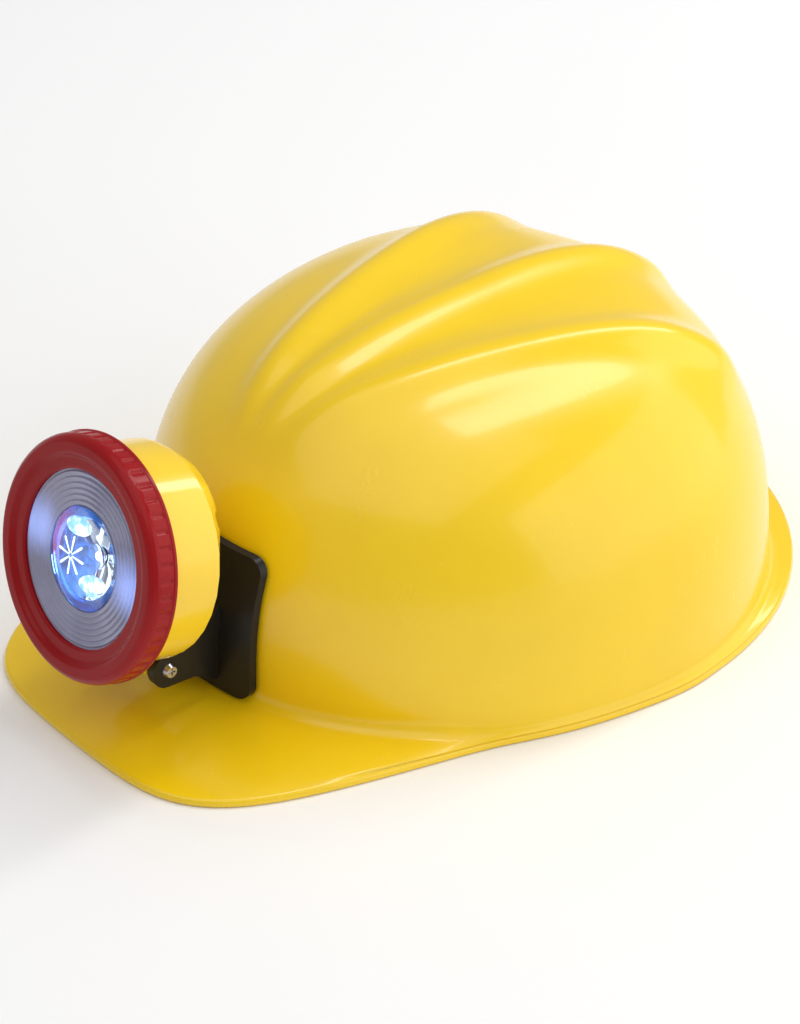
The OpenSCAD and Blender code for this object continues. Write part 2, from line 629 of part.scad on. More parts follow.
// A clear cone that stands on the diode, its thin front disc resting on the cup's flange
module light_guide() {
    color([0.85, 0.92, 1, 0.6]) at_lamp() rotate_extrude() polygon([
        [0, -flange_z - cup_depth * 0.64], [4, -flange_z - cup_depth * 0.62],
        [cup_r * 0.76, -neck_front], [cup_r + 2, -neck_front - 0.05], [cup_r + 2, -lens_front - lens_t - 0.3],
        [0, -lens_front - lens_t - 0.3]]);
}
board_r = 24;
module led_board() {
    color([0.1, 0.35, 0.18]) at_lamp() difference() {
        disc(board_r, -board_z - board_t, -board_z);
        post_places() disc(1.35, -board_z - 5, -board_z + 2);
    }
}
module led() {
    color("white") at_lamp() {
        disc(3.1, -board_z + 0.02, -board_z + 2.2);
        translate([0, 0, -board_z + 2.1]) difference() {
            sphere(r = 2.4, $fn = 48);
            translate([-5, -5, -10]) cube([10, 10, 10]);
        }
    }
}
module board_screws() {
    color(steel) at_lamp() post_places() {
        disc(1.25, -board_z - board_t - 0.05, -flange_z - 4.2);
        disc(2.3, -board_z - board_t - 0.85, -board_z - board_t);
    }
}

// ---- Cells lie side by side across the lamp, in an open tray
tray_half_w = cell_pitch + 1;
tray_half_l = cell_l / 2 + 3.6;
module battery_tray() {
    // an open tray on the back of the board, with its corners cut off and the board's screws let in
    color(black) at_lamp() difference() {
        translate([-tray_half_l, -tray_half_w, -cell_z - 1])
            cube([2 * tray_half_l, 2 * tray_half_w, cell_z + 1 - tray_z]);
        translate([-tray_half_l + 1.6, -tray_half_w + 1, -cell_z - 10])
            cube([2 * tray_half_l - 3.2, 2 * tray_half_w - 2, cell_z + 10 - tray_z - tray_floor]);
        for (s = [-1, 1], x = [-1, 1]) translate([x * tray_half_l, s * tray_half_w, -cell_z - 2])
            rotate([0, 0, 45]) cube([3.6, 3.6, 40], center = true);
        post_places() disc(3, -tray_z - 2, 0);
    }
}
module cell_places() {
    for (i = [0, 1]) translate([0, (i - 0.5) * cell_pitch, -cell_z]) rotate([0, i == 0 ? 90 : -90, 0]) children();
}
module battery(i) {
    at_lamp() translate([0, (i - 0.5) * cell_pitch, -cell_z]) rotate([0, i == 0 ? 90 : -90, 0]) {
        color([0.12, 0.25, 0.2]) translate([0, 0, -cell_l / 2]) cylinder(r = cell_r, h = cell_l, $fn = 48);
        color(steel) translate([0, 0, cell_l / 2]) cylinder(r = 1.9, h = 0.8, $fn = 32);
    }
}
module battery_1() { battery(0); }
module battery_2() { battery(1); }
module contact_springs() {
    // one short coil at each cell's flat end, taken as a sleeve
    color(steel) at_lamp() cell_places() tube(3.4, 2.4, -cell_l / 2 - 1.3, -cell_l / 2 - 0.05);
}
module contact_plates() {
    color([0.8, 0.68, 0.35]) at_lamp() cell_places() for (s = [-1, 1])
        translate([-4, -4, s > 0 ? cell_l / 2 + 0.85 : -cell_l / 2 - 1.85]) cube([7.5, 8, 0.5]);
}
module switch_contact() {
    // a folded leaf that the bezel's turn presses shut
    color([0.8, 0.68, 0.35]) at_lamp() translate([bore_r - 5.3, -3, -flange_z - 10]) difference() {
        cube([5, 6, 6]);
        translate([0.5, -1, 0.5]) cube([4, 8, 6]);
    }
}

helmet_shell();
headband();
nape_strap();
nape_pegs();
sweatband();
crown_strap_left();
crown_strap_right();
clip_1();
clip_2();
clip_3();
clip_4();
bracket();
bracket_pad();
bracket_screws();
bracket_washers();
bracket_nuts();
hinge_screw();
hinge_nut();
friction_washers();
lamp_housing();
rear_cover();
cover_seal();
cover_screws();
bezel_ring();
lens();
lens_seal();
reflector();
light_guide();
led_board();
led();
board_screws();
battery_tray();
battery_1();
battery_2();
contact_springs();
contact_plates();
switch_contact();
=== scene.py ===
import functools
import json
import math

import bmesh
import bpy
from bpy.props import FloatProperty, FloatVectorProperty, IntProperty, PointerProperty
from mathutils import Matrix, Vector


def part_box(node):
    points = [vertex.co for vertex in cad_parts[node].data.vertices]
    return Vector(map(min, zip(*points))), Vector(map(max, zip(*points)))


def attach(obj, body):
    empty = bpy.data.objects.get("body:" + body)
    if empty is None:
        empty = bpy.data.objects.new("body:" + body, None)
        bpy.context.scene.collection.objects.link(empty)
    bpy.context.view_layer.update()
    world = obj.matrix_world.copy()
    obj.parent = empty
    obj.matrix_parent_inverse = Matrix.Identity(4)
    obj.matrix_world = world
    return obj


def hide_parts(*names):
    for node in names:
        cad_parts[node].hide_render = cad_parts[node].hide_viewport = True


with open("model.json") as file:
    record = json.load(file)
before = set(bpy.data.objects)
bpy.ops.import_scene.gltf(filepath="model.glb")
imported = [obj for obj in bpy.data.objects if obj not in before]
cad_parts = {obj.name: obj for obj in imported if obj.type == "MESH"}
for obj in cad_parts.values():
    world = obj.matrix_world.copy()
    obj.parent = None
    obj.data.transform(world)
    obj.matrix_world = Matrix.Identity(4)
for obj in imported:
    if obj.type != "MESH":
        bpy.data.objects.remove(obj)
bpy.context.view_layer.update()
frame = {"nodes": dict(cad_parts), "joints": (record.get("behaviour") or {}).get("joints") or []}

bl_info = {
    "name": "Miner's Cap Lamp",
    "version": (1, 0, 0),
    "blender": (4, 5, 0),
    "location": "View3D > Sidebar > Cap Lamp",
    "description": "Builds the ribbed cap, its harness and the tilting lamp around the packed frame",
    "category": "Object",
}

MM = 0.001
SHELL_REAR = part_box("helmet_shell")[1].y
BEZEL_TURN = next(joint for joint in frame["joints"] if joint["name"] == "bezel_turn")

# The shell: the rim's bead, and how the ribs fan out, fade in above the sides and meet
RIM_BEAD = 0.35 * MM
RIB_ROOT, RIB_FAN, RIB_MEET = 2 * MM, 0.92, 6
RIB_FOOT, RIB_FOOT_DROP, RIB_FADE = 0.74, 0.12, 0.19
RIB_HUMPS = ((0.62, 1.35), (0.38, 0.72))
VISOR_MEET = 70
ROWS_OUTSIDE, ROWS_INSIDE, FILLET_STEPS = 96, 48, 8
BRIM_STEPS = (0.12, 0.25, 0.4, 0.55, 0.7, 0.82, 0.92)

# The harness: angles around the head's oval in degrees, and what lies between its layers
BAND_FROM, BAND_TO, SLIDER_FROM, SLIDER_TO, BAND_STEP = 118, 422, 46, 134, 1.5
PAD_FROM, PAD_ARC, PAD_STEPS, PAD_SIDES, PAD_CHANNELS = 202, 136, 272, 28, 9
SEAT_GAP, STRAP_GAP, STRAP_STACK = 0.15 * MM, 0.2 * MM, 2.35 * MM
STRAP_LINE, STRAP_STEPS, STRAP_COLUMNS = math.radians(41), 120, 6

# The lamp: the radius that closes a turned piece on its axis, the play between bezel and neck in mm,
# the bezel's mesh step in mm, and where the painted star of glare and the two painted pools of light lie:
# across, up and turned
AXIS = 0.0001 * MM
BEZEL_PLAY, BEZEL_MESH = 0.06, 0.45
STAR_PLACE, STAR_RAY = (-6.2 * MM, -1.8 * MM), 0.34 * MM
POOLS = (("light_pool_upper", -5.6, 8.0, 12), ("light_pool_lower", 4.9, -6.4, 20))
POOL_SIZE = (6.0 * MM, 2.9 * MM, 0.55 * MM, 1)

# The stage: the camera's place and aim, and the lights' direction, distance, width, height and radiance
AZIMUTH, ELEVATION, DISTANCE = math.radians(50.35), math.radians(32.33), 1.501
AIM, LENS, SENSOR = Vector((-0.7 * MM, 0.0, 29.9 * MM)), 163.1, 36
ROOM_LIGHT, FLOOR_HALF, FLOOR_DROP = 0.4, 6, -0.0002
PANELS = {"side_panel": ((0.80, 0.60, 0.36), 1.7, 2.9, 1.9, 1.25),
          "crown_panel": ((-0.02, 0.52, 0.82), 1.5, 0.26, 1.7, 6.5),
          "room_panel": ((0.1, -0.3, 1.0), 2.2, 2.4, 2.4, 0.85)}


# ------------------------------------------------------------------ settings
def number(name, description, value):
    kind = IntProperty if isinstance(value, int) else FloatProperty
    return kind(name=name, description=description, default=value)


def size(name, description, mm):
    return FloatProperty(name=name, description=description, default=mm * MM, unit="LENGTH", precision=4)


def tint(name, description, rgb):
    return FloatVectorProperty(name=name, description=description, default=rgb, subtype="COLOR", min=0, max=1)


class CapShellSizes(bpy.types.PropertyGroup):
    """Sizes of the moulded cap"""
    half_width: size("Half width", "Half of the dome's width at its base", 98.5)
    front: size("Front", "Dome length from its centre to the brow", 113)
    rear: size("Rear", "Dome length from its centre to the nape", 94)
    crown: size("Crown", "Height of the dome's crown without its ribs", 101.4)
    wall: size("Wall", "Wall of the moulded shell", 2.2)
    plan_power: number("Plan power", "How square the dome is in plan", 2.04)
    shoulder: number("Shoulder", "How full the dome's shoulders are", 0.71)
    base_rise: size("Base rise", "Height at which the dome starts above the rim", 4.6)
    visor_reach: size("Visor reach", "Reach of the visor in front of the brow", 50)
    visor_half_width: size("Visor half width", "Half width of the visor at the middle of its reach", 67)
    visor_square: number("Visor square", "How square the visor's corners are", 7.5)
    visor_flare: FloatProperty(name="Visor flare", description="Widening of the visor towards the ears",
                               default=math.radians(14), subtype="ANGLE")
    side_lip: size("Side lip", "Lip around the sides of the dome", 2.5)
    rear_lip: size("Rear lip", "Lip behind the nape", 12.5)
    least_lip: size("Least lip", "Narrowest lip, in front of the ears", 1.6)
    edge: size("Edge", "Depth of the turned edge all round the rim", 2.6)
    fillet: size("Fillet", "Rounding between the dome and the visor", 5)
    rib_height: size("Rib height", "Height of the three crown ribs", 4.3)
    rib_width: size("Rib width", "Width scale of one rib", 9.5)
    rib_spread: size("Rib spread", "Distance of the outer ribs from the middle at the crown", 35.5)
    around: number("Around", "Columns of faces around the shell", 300)


class CapLampSizes(bpy.types.PropertyGroup):
    """Sizes of the lamp's turned pieces, back from the bezel's face"""
    bezel_radius: size("Bezel radius", "Outer radius of the bezel", 39.4)
    crest_radius: size("Crest radius", "Outer radius of the raised front of the bezel", 36)
    opening: size("Opening", "Radius of the bezel's opening", 28)
    bezel_depth: size("Bezel depth", "Depth of the bezel along the lamp's axis", 9.4)
    neck: size("Neck", "Radius of the neck that the bezel turns on", 33)
    lens_depth: size("Lens depth", "Where the lens lies behind the bezel's face", 3.2)
    lens_thickness: size("Lens thickness", "Thickness of the lens", 2)
    eye: size("Eye", "Radius of the clear middle of the lens", 16.5)
    eye_bulge: size("Eye bulge", "How far the middle of the lens stands proud", 1.9)
    rings: number("Rings", "Moulded rings around the lens's middle", 6)
    notches: number("Notches", "Grip notches around the bezel", 48)
    notch_depth: size("Notch depth", "Depth of one grip notch", 0.45)
    # The star is painted glare: glowing rays that stand for the diode's glare, not a moulded piece
    star_radius: size("Star radius", "Radius of the moulded light star", 6.2)
    star_rays: number("Star rays", "Rays of the light star", 8)


class CapHarnessSizes(bpy.types.PropertyGroup):
    """Sizes of the suspension inside the cap"""
    gap_side: size("Side gap", "Gap between the shell and the headband at the sides", 18.5)
    gap_end: size("End gap", "Gap between the shell and the headband at the brow and nape", 9.5)
    band_low: size("Band foot", "Height of the headband's lower edge", 4)
    band_height: size("Band height", "Height of the headband", 26)
    band_thickness: size("Band thickness", "Thickness of the headband", 1.8)
    strap_width: size("Strap width", "Width of a crown strap", 19)
    strap_thickness: size("Strap thickness", "Thickness of a crown strap", 1.2)
    strap_foot: size("Strap foot", "Height at which the crown straps end", 26)
    strap_out: size("Strap reach", "Distance from the headband outwards to the strap's outer face", 4.8)
    crown_room: size("Crown room", "Room between the crown straps and the shell", 19)
    pad_thickness: size("Pad thickness", "Thickness of the brow pad", 4)
    stitch: size("Stitch", "Length of one stitch", 2.6)


class CapLampColours(bpy.types.PropertyGroup):
    """Colours of the finishes"""
    shell: tint("Shell", "Moulded yellow of the cap", (0.94, 0.625, 0.004))
    housing: tint("Housing", "Moulded yellow of the lamp", (0.94, 0.63, 0.02))
    bezel: tint("Bezel", "Moulded red of the bezel", (0.31, 0.003, 0.005))
    bracket: tint("Bracket", "Moulded black of the bracket", (0.007, 0.0065, 0.006))
    lens: tint("Lens", "Cast of the moulded lens", (0.42, 0.42, 0.57))
    light: tint("Light", "Colour of the lit diode", (0.78, 0.90, 1.0))
    floor: tint("Floor", "Plain pale floor", (0.96, 0.96, 0.96))


def sizes(name):
    return getattr(bpy.context.scene, name)


# ------------------------------------------------------------------ node trees
class Value:
    """A node's output, which takes part in Python arithmetic as Math nodes"""
    def __init__(self, graph, socket):
        self.graph, self.socket = graph, socket

    def __add__(self, other): return self.graph.math("ADD", self, other)
    def __radd__(self, other): return self.graph.math("ADD", other, self)
    def __sub__(self, other): return self.graph.math("SUBTRACT", self, other)
    def __rsub__(self, other): return self.graph.math("SUBTRACT", other, self)
    def __mul__(self, other): return self.graph.math("MULTIPLY", self, other)
    def __rmul__(self, other): return self.graph.math("MULTIPLY", other, self)
    def __truediv__(self, other): return self.graph.math("DIVIDE", self, other)


class Graph:
    """Adds nodes to a shader or geometry tree"""
    def __init__(self, tree):
        self.tree = tree

    def add(self, kind, inputs=None, out=0, **settings):
        node = self.tree.nodes.new(kind)
        for key, value in settings.items():
            setattr(node, key, value)
        for key, value in (inputs or {}).items():
            if isinstance(value, Value):
                self.tree.links.new(value.socket, node.inputs[key])
            else:
                node.inputs[key].default_value = value
        return Value(self, node.outputs[out])

    def other(self, value, out):
        """Another output of the node that value comes from"""
        return Value(self, value.socket.node.outputs[out])

    def math(self, operation, first, second=0.0):
        return self.add("ShaderNodeMath", {0: first, 1: second}, operation=operation)

    def mix(self, factor, first, second):
        colours = [c if isinstance(c, Value) else (*c, 1) for c in (first, second)]
        return self.add("ShaderNodeMix", {0: factor, 6: colours[0], 7: colours[1]}, out=2, data_type="RGBA")

    def span(self, value, low, high):
        """Rises smoothly from 0 to 1 while value goes from low to high"""
        return self.add("ShaderNodeMapRange", {0: value, 1: low, 2: high}, interpolation_type="SMOOTHSTEP")


class Finish(Graph):
    """A material with one Principled shader, made of plain values and of node outputs"""
    def __init__(self, name):
        self.material = bpy.data.materials.new(name)
        self.material.use_nodes = True
        super().__init__(self.material.node_tree)
        self.shader = self.tree.nodes["Principled BSDF"]
        self.place = self.add("ShaderNodeTexCoord", out="Object")

    def noise(self, scale, detail=3.0, roughness=0.5, where=None):
        return self.add("ShaderNodeTexNoise", {"Vector": where or self.place, "Scale": scale,
                                               "Detail": detail, "Roughness": roughness})

    def bump(self, height, strength, distance, normal=None):
        inputs = {"Height": height, "Strength": strength, "Distance": distance}
        if normal:
            inputs["Normal"] = normal
        return self.add("ShaderNodeBump", inputs)

    def set(self, **values):
        for key, value in values.items():
            socket = self.shader.inputs[key.replace("_", " ")]
            if isinstance(value, Value):
                self.tree.links.new(value.socket, socket)
            elif socket.type == "RGBA":
                socket.default_value = (*value, 1)
            else:
                socket.default_value = value
        return self.material


def shaded(colour, share, lift=0.0):
    """The colour made darker or paler by a share, and lifted towards white"""
    return tuple(min(1.0, c * share + lift) for c in colour)


def moulded(name, colour, roughness=0.16, grain=0.02, streak=0.06, coat=0.3, spread=0.06, shine=0.5):
    """Glossy or satin moulded plastic: faint flow marks, a fine grain and a few rubbed patches"""
    f = Finish(name)
    clouds = f.noise(9, 3)
    flow = f.noise(38, 4, 0.6)
    rub = f.span(f.noise(55, 6, 0.7), 0.60, 0.82)
    scuff = f.span(f.noise(420, 5, 0.75), 0.66, 0.74) * f.span(f.noise(18, 3), 0.5, 0.7)
    tone = f.span(clouds * 0.7 + flow * 0.3, 0.3, 0.7)
    colours = shaded(colour, 1 - spread), shaded(colour, 1 + spread * 0.4, spread * 0.04)
    waves = f.bump(f.noise(60, 2), streak, 0.001)
    return f.set(Base_Color=f.mix(tone, *colours),
                 Roughness=roughness + rub * 0.08 + flow * 0.03 + scuff * 0.12,
                 Normal=f.bump(f.noise(900, 2), grain, 0.0002, waves),
                 Coat_Weight=coat, Coat_Roughness=0.07, Specular_IOR_Level=shine)


def metal(name, colour, roughness):
    f = Finish(name)
    stretch = f.add("ShaderNodeMapping", {"Vector": f.place, "Scale": (60, 60, 900)})
    lines = f.noise(3, 4, 0.6, stretch)
    stains = f.span(f.noise(220, 4, 0.6), 0.35, 0.75)
    return f.set(Base_Color=f.mix(stains, colour, shaded(colour, 0.7)), Metallic=1.0,
                 Roughness=roughness + lines * 0.15, Normal=f.bump(lines, 0.15, 0.0002))


def rubber(name):
    f, colour = Finish(name), (0.02, 0.02, 0.021)
    dust = f.span(f.noise(140, 5, 0.6), 0.45, 0.8)
    return f.set(Base_Color=f.mix(dust, colour, shaded(colour, 2.4, 0.01)),
                 Roughness=0.62 + dust * 0.2, Normal=f.bump(f.noise(700, 2), 0.1, 0.0002))


def webbing(name, colour):
    """Woven tape: warp and weft across the piece's own UV map, one unit to a metre"""
    f = Finish(name)
    uv = f.add("ShaderNodeTexCoord", out="UV")
    warp, weft = (f.add("ShaderNodeTexWave", {"Vector": uv, "Scale": scale, "Distortion": 0.4, "Detail": 1.0},
                        out="Fac", bands_direction=way) for scale, way in ((260.0, "X"), (190.0, "Y")))
    weave = warp * 0.6 + weft * 0.4
    fuzz = f.noise(1600, 3)
    shade = f.span(weave * 0.8 + fuzz * 0.3, 0.2, 0.9)
    return f.set(Base_Color=f.mix(shade, shaded(colour, 0.45), shaded(colour, 1.5)),
                 Roughness=0.78 + fuzz * 0.15, Sheen_Weight=0.25, Sheen_Roughness=0.4,
                 Normal=f.bump(weave, 0.6, 0.0004))


def cloth(name, colour):
    """Brushed cloth of the brow pad"""
    f = Finish(name)
    knit = f.add("ShaderNodeTexVoronoi", {"Vector": f.place, "Scale": 1100.0}, out="Distance")
    nap = f.noise(420, 5, 0.7)
    shade = f.span(nap * 0.7 + knit * 0.6, 0.3, 0.9)
    return f.set(Base_Color=f.mix(shade, shaded(colour, 0.5), shaded(colour, 1.7, 0.01)),
                 Roughness=0.85 + nap * 0.1, Sheen_Weight=0.4, Sheen_Roughness=0.5,
                 Normal=f.bump(knit * 0.6 + nap * 0.6, 0.5, 0.0004))


def mirror_cup(name, eye):
    """Bright-plated cup with painted light: a blue tint and a blue glow in patches stand for the diode's
    light on it, and a pink glow is painted along one side
    """
    f = Finish(name)
    # Painted light: patches where the diode's blue light is painted into the tint and the glow, and where the
    # plating is rougher
    painted_light_patches = f.span(f.noise(120, 3), 0.35, 0.7)
    side = f.add("ShaderNodeSeparateXYZ", {0: f.place})
    # Painted glow: pink along the cup's side towards -X
    pink = 1 - f.span(side, -eye * 0.98, -eye * 0.72)
    # Painted glow: the diode's blue light, brighter in the painted patches
    blue = f.mix(painted_light_patches, (0.0, 0.040, 0.26), (0.02, 0.16, 0.62))
    return f.set(Base_Color=f.mix(painted_light_patches, (0.02, 0.10, 0.42), (0.12, 0.34, 0.80)), Metallic=1.0,
                 Roughness=0.08 + painted_light_patches * 0.12, Normal=f.bump(f.noise(240, 2), 0.25, 0.0006),
                 Emission_Color=f.mix(pink, blue, (0.55, 0.03, 0.22)), Emission_Strength=0.6)


def lens_plastic(name, colour, axis_point):
    """Milky moulded rings with a painted blue-white glow on either side of the axis, which stands for the
    diode's light that they catch
    """
    f = Finish(name)
    away = f.add("ShaderNodeVectorMath", {0: f.place, 1: tuple(axis_point)}, operation="SUBTRACT")
    side = f.add("ShaderNodeSeparateXYZ", {0: away})
    height = f.math("ABSOLUTE", f.other(side, 2))
    spread = f.noise(170, 3)
    # Painted glow: a level band on either side of the lens's axis, standing in for the diode's light on the
    # rings
    beside = f.span(f.math("ABSOLUTE", side), 0.012, 0.022)
    glow = (1 - f.span(height + spread * 0.006, 0.003, 0.015)) * beside
    base = f.mix(f.span(f.noise(60, 3), 0.3, 0.7), shaded(colour, 0.82), colour)
    return f.set(Base_Color=base, Roughness=0.12 + spread * 0.10, Coat_Weight=0.6, Coat_Roughness=0.03,
                 Transmission_Weight=0.25, IOR=1.47,
                 Emission_Color=f.mix(glow, (0.004, 0.004, 0.012), (0.14, 0.22, 0.52)), Emission_Strength=1.0)


def clear_plastic(name, tone):
    f = Finish(name)
    streaks = f.noise(90, 3)
    return f.set(Base_Color=f.mix(f.span(streaks, 0.3, 0.7), shaded(tone, 0.97), tone),
                 Roughness=0.015 + streaks * 0.02, Transmission_Weight=1.0, IOR=1.46)


def lit(name, colour, strength):
    f = Finish(name)
    cells = f.span(f.noise(700, 2), 0.3, 0.7)
    return f.set(Base_Color=(0.8, 0.85, 0.9), Roughness=0.3,
                 Emission_Color=f.mix(cells, colour, shaded(colour, 1.1, 0.05)),
                 Emission_Strength=strength)


def glint(name):
    """A painted pool of the diode's light on the clear guide: white with blue streaks"""
    f = Finish(name)
    streaks = f.span(f.noise(330, 3, 0.7), 0.42, 0.60)
    return f.set(Base_Color=(0.8, 0.9, 1.0), Roughness=0.2,
                 Emission_Color=f.mix(streaks, (0.10, 0.38, 0.85), (1.0, 1.0, 1.0)), Emission_Strength=1.6)


def floor_paint(name, colour):
    f = Finish(name)
    cloud = f.span(f.noise(3, 3), 0.3, 0.7)
    return f.set(Base_Color=f.mix(cloud, shaded(colour, 0.985), colour), Roughness=0.6)


# ------------------------------------------------------------------ meshes
def linked(name, data):
    obj = bpy.data.objects.new(name, data)
    bpy.context.scene.collection.objects.link(obj)
    return obj


def raw_mesh(name, verts, faces=(), edges=()):
    mesh = bpy.data.meshes.new(name)
    mesh.from_pydata([tuple(v) for v in verts], list(edges), list(faces))
    return mesh


def new_object(name, verts, faces, material, smooth=True, sharp=None):
    return finish_mesh(raw_mesh(name, verts, faces), name, material, smooth, sharp)


def finish_mesh(mesh, name, material, smooth=True, sharp=None):
    """Merges doubles, turns the faces outwards and marks edges sharper than the angle sharp"""
    bm = bmesh.new()
    bm.from_mesh(mesh)
    bmesh.ops.remove_doubles(bm, verts=bm.verts, dist=1e-7)
    bmesh.ops.recalc_face_normals(bm, faces=bm.faces)
    for face in bm.faces:
        face.smooth = smooth
    if sharp:
        for edge in bm.edges:
            if len(edge.link_faces) == 2 and edge.calc_face_angle(0) > sharp:
                edge.smooth = False
    bm.to_mesh(mesh)
    bm.free()
    mesh.materials.clear()
    mesh.materials.append(material)
    return linked(name, mesh)


def settle(obj):
    """Turns the object's modifiers into plain mesh and removes them"""
    bpy.context.view_layer.update()
    graph = bpy.context.evaluated_depsgraph_get()
    mesh = bpy.data.meshes.new_from_object(obj.evaluated_get(graph))
    obj.modifiers.clear()
    old, obj.data = obj.data, mesh
    bpy.data.meshes.remove(old)
    return obj


def loft(rings, closed=True):
    """Faces between rings, or open lines, of equal length"""
    count = len(rings[0])
    verts = [v for ring in rings for v in ring]
    faces = []
    for row in range(0, (len(rings) - 1) * count, count):
        for i in range(count if closed else count - 1):
            n = (i + 1) % count
            faces.append((row + i, row + n, row + count + n, row + count + i))
    return verts, faces


def capped(rings):
    """A loft that is closed at both ends"""
    verts, faces = loft(rings)
    count = len(rings[0])
    return verts, faces + [tuple(range(count))[::-1], tuple(range(len(verts) - count, len(verts)))]


def bend(start, corner, end, t):
    """A point on the arc that rounds a corner"""
    return start * (1 - t) ** 2 + corner * 2 * t * (1 - t) + end * t * t


def place_piece(obj, body, slot, *nodes):
    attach(obj, body)
    if nodes:
        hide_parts(*nodes)


def rounded(points, radii):
    """An outline whose corners are arcs: each radius goes with the point of the same place"""
    out = []
    for i, (point, radius) in enumerate(zip(points, radii)):
        p = Vector(point)
        if radius <= 0 or i in (0, len(points) - 1):
            out.append(p)
            continue
        back, on = Vector(points[i - 1]) - p, Vector(points[i + 1]) - p
        half = back.angle(on) / 2
        reach = min(radius / math.tan(half), back.length * 0.49, on.length * 0.49)
        start, end = p + back.normalized() * reach, p + on.normalized() * reach
        out += [bend(start, p, end, k / 6) for k in range(7)]
    return out


def softened(node, material, slot, body, width, segments=2):
    """A copy of a CAD piece with its sharp edges rounded by width in mm, which stands for it"""
    mesh = frame["nodes"][node].data.copy()
    obj = finish_mesh(mesh, node + "_part", material, sharp=math.radians(32))
    bevel = obj.modifiers.new("Rounded edges", "BEVEL")
    bevel.width, bevel.segments, bevel.limit_method = width * MM, segments, "ANGLE"
    bevel.angle_limit, bevel.harden_normals = math.radians(38), False
    bevel.use_clamp_overlap = True
    place_piece(settle(obj), body, slot, node)


# ------------------------------------------------------------------ geometry node trees
def start_tree(name, *inputs):
    """A geometry tree's graph, and its inputs: the mesh, the named numbers and the material"""
    tree = bpy.data.node_groups.new(name, "GeometryNodeTree")
    tree.is_modifier = True
    face = tree.interface
    face.new_socket("Geometry", in_out="INPUT", socket_type="NodeSocketGeometry")
    for label, value in inputs:
        kind = "NodeSocketInt" if isinstance(value, int) else "NodeSocketFloat"
        face.new_socket(label, in_out="INPUT", socket_type=kind).default_value = value
    face.new_socket("Material", in_out="INPUT", socket_type="NodeSocketMaterial")
    face.new_socket("Geometry", in_out="OUTPUT", socket_type="NodeSocketGeometry")
    g = Graph(tree)
    given = g.add("NodeGroupInput")
    return g, [g.other(given, i) for i in range(len(inputs) + 2)]


def end_tree(g, geometry, material):
    """Makes instances real, sets the material and gives the geometry out"""
    real = g.add("GeometryNodeRealizeInstances", {0: geometry})
    painted = g.add("GeometryNodeSetMaterial", {"Geometry": real, "Material": material})
    g.tree.links.new(painted.socket, g.tree.nodes.new("NodeGroupOutput").inputs[0])
    return g.tree


@functools.cache
def turned_tree():
    """Turns a profile, given as points in order, about Z, and lets grip notches into its side"""
    g, (given, segments, notches, depth, low, high, least, material) = start_tree(
        "Turned piece", ("Segments", 128), ("Notches", 1), ("Notch Depth", 0.0), ("Notch Low", 0.0),
        ("Notch High", 0.0), ("Notch From Radius", 0.0))
    count = g.add("GeometryNodeAttributeDomainSize", {0: given})
    grid = g.add("GeometryNodeMeshGrid", {"Size X": 1.0, "Size Y": 1.0, "Vertices X": segments + 1,
                                          "Vertices Y": count})
    at = g.add("ShaderNodeSeparateXYZ", {0: g.add("GeometryNodeInputPosition")})
    turn = (at + 0.5) * math.tau
    row = g.math("ROUND", (g.other(at, 1) + 0.5) * (count - 1))
    profile = g.add("GeometryNodeSampleIndex", {0: given, 1: g.add("GeometryNodeInputPosition"), 2: row},
                    data_type="FLOAT_VECTOR", domain="POINT")
    point = g.add("ShaderNodeSeparateXYZ", {0: profile})
    radius, height = point, g.other(point, 2)
    tooth = g.span(g.math("COSINE", turn * notches), 0.35, 0.95)
    band = g.span(height, low, low + 0.0003) * (1 - g.span(height, high - 0.0003, high)) * g.span(
        radius, least, least + 0.0002)
    cut = radius - depth * tooth * band
    spot = g.add("ShaderNodeCombineXYZ", {0: cut * g.math("COSINE", turn), 1: cut * g.math("SINE", turn),
                                          2: height})
    placed = g.add("GeometryNodeSetPosition", {"Geometry": grid, "Position": spot})
    merged = g.add("GeometryNodeMergeByDistance", {"Geometry": placed, "Distance": 1e-6})
    return end_tree(g, merged, material)


def array_tree():
    """Sets the object's own mesh in a ring, each copy turned to face out"""
    g, (given, count, radius, material) = start_tree("Set in a ring", ("Count", 8), ("Radius", 0.0))
    turn = g.add("GeometryNodeInputIndex") / count * math.tau
    spot = g.add("ShaderNodeCombineXYZ",
                 {0: radius * g.math("COSINE", turn), 1: radius * g.math("SINE", turn)})
    points = g.add("GeometryNodePoints", {"Count": count, "Position": spot, "Radius": 0.001})
    copies = g.add("GeometryNodeInstanceOnPoints", {
        "Points": points, "Instance": given, "Rotation": g.add("ShaderNodeCombineXYZ", {2: turn})})
    return end_tree(g, copies, material)


def stitch_tree():
    """Sets stitches along the edges of a path, one to each step"""
    g, (given, step, thick, material) = start_tree("Stitches along a seam", ("Step", 0.003),
                                                   ("Thickness", 0.0003))
    seam = g.add("GeometryNodeMeshToCurve", {0: given})
    points = g.add("GeometryNodeCurveToPoints", {"Curve": seam, "Length": step}, mode="LENGTH")
    along = g.add("FunctionNodeAlignRotationToVector", {"Vector": g.other(points, 1)}, axis="Z")
    ball = g.add("GeometryNodeMeshUVSphere", {"Segments": 8, "Rings": 5, "Radius": 1.0})
    shape = g.add("ShaderNodeCombineXYZ", {0: thick, 1: thick, 2: step * 0.36})
    copies = g.add("GeometryNodeInstanceOnPoints",
                   {"Points": points, "Instance": ball, "Rotation": along, "Scale": shape})
    return end_tree(g, copies, material)


def run_tree(obj, tree, values):
    """Runs a geometry tree on the object with the named inputs, and keeps the plain mesh"""
    modifier = obj.modifiers.new(tree.name, "NODES")
    modifier.node_group = tree
    names = {item.name: item.identifier for item in tree.interface.items_tree
             if item.item_type == "SOCKET" and item.in_out == "INPUT"}
    for name, value in values.items():
        modifier[names[name]] = value
    return settle(obj)


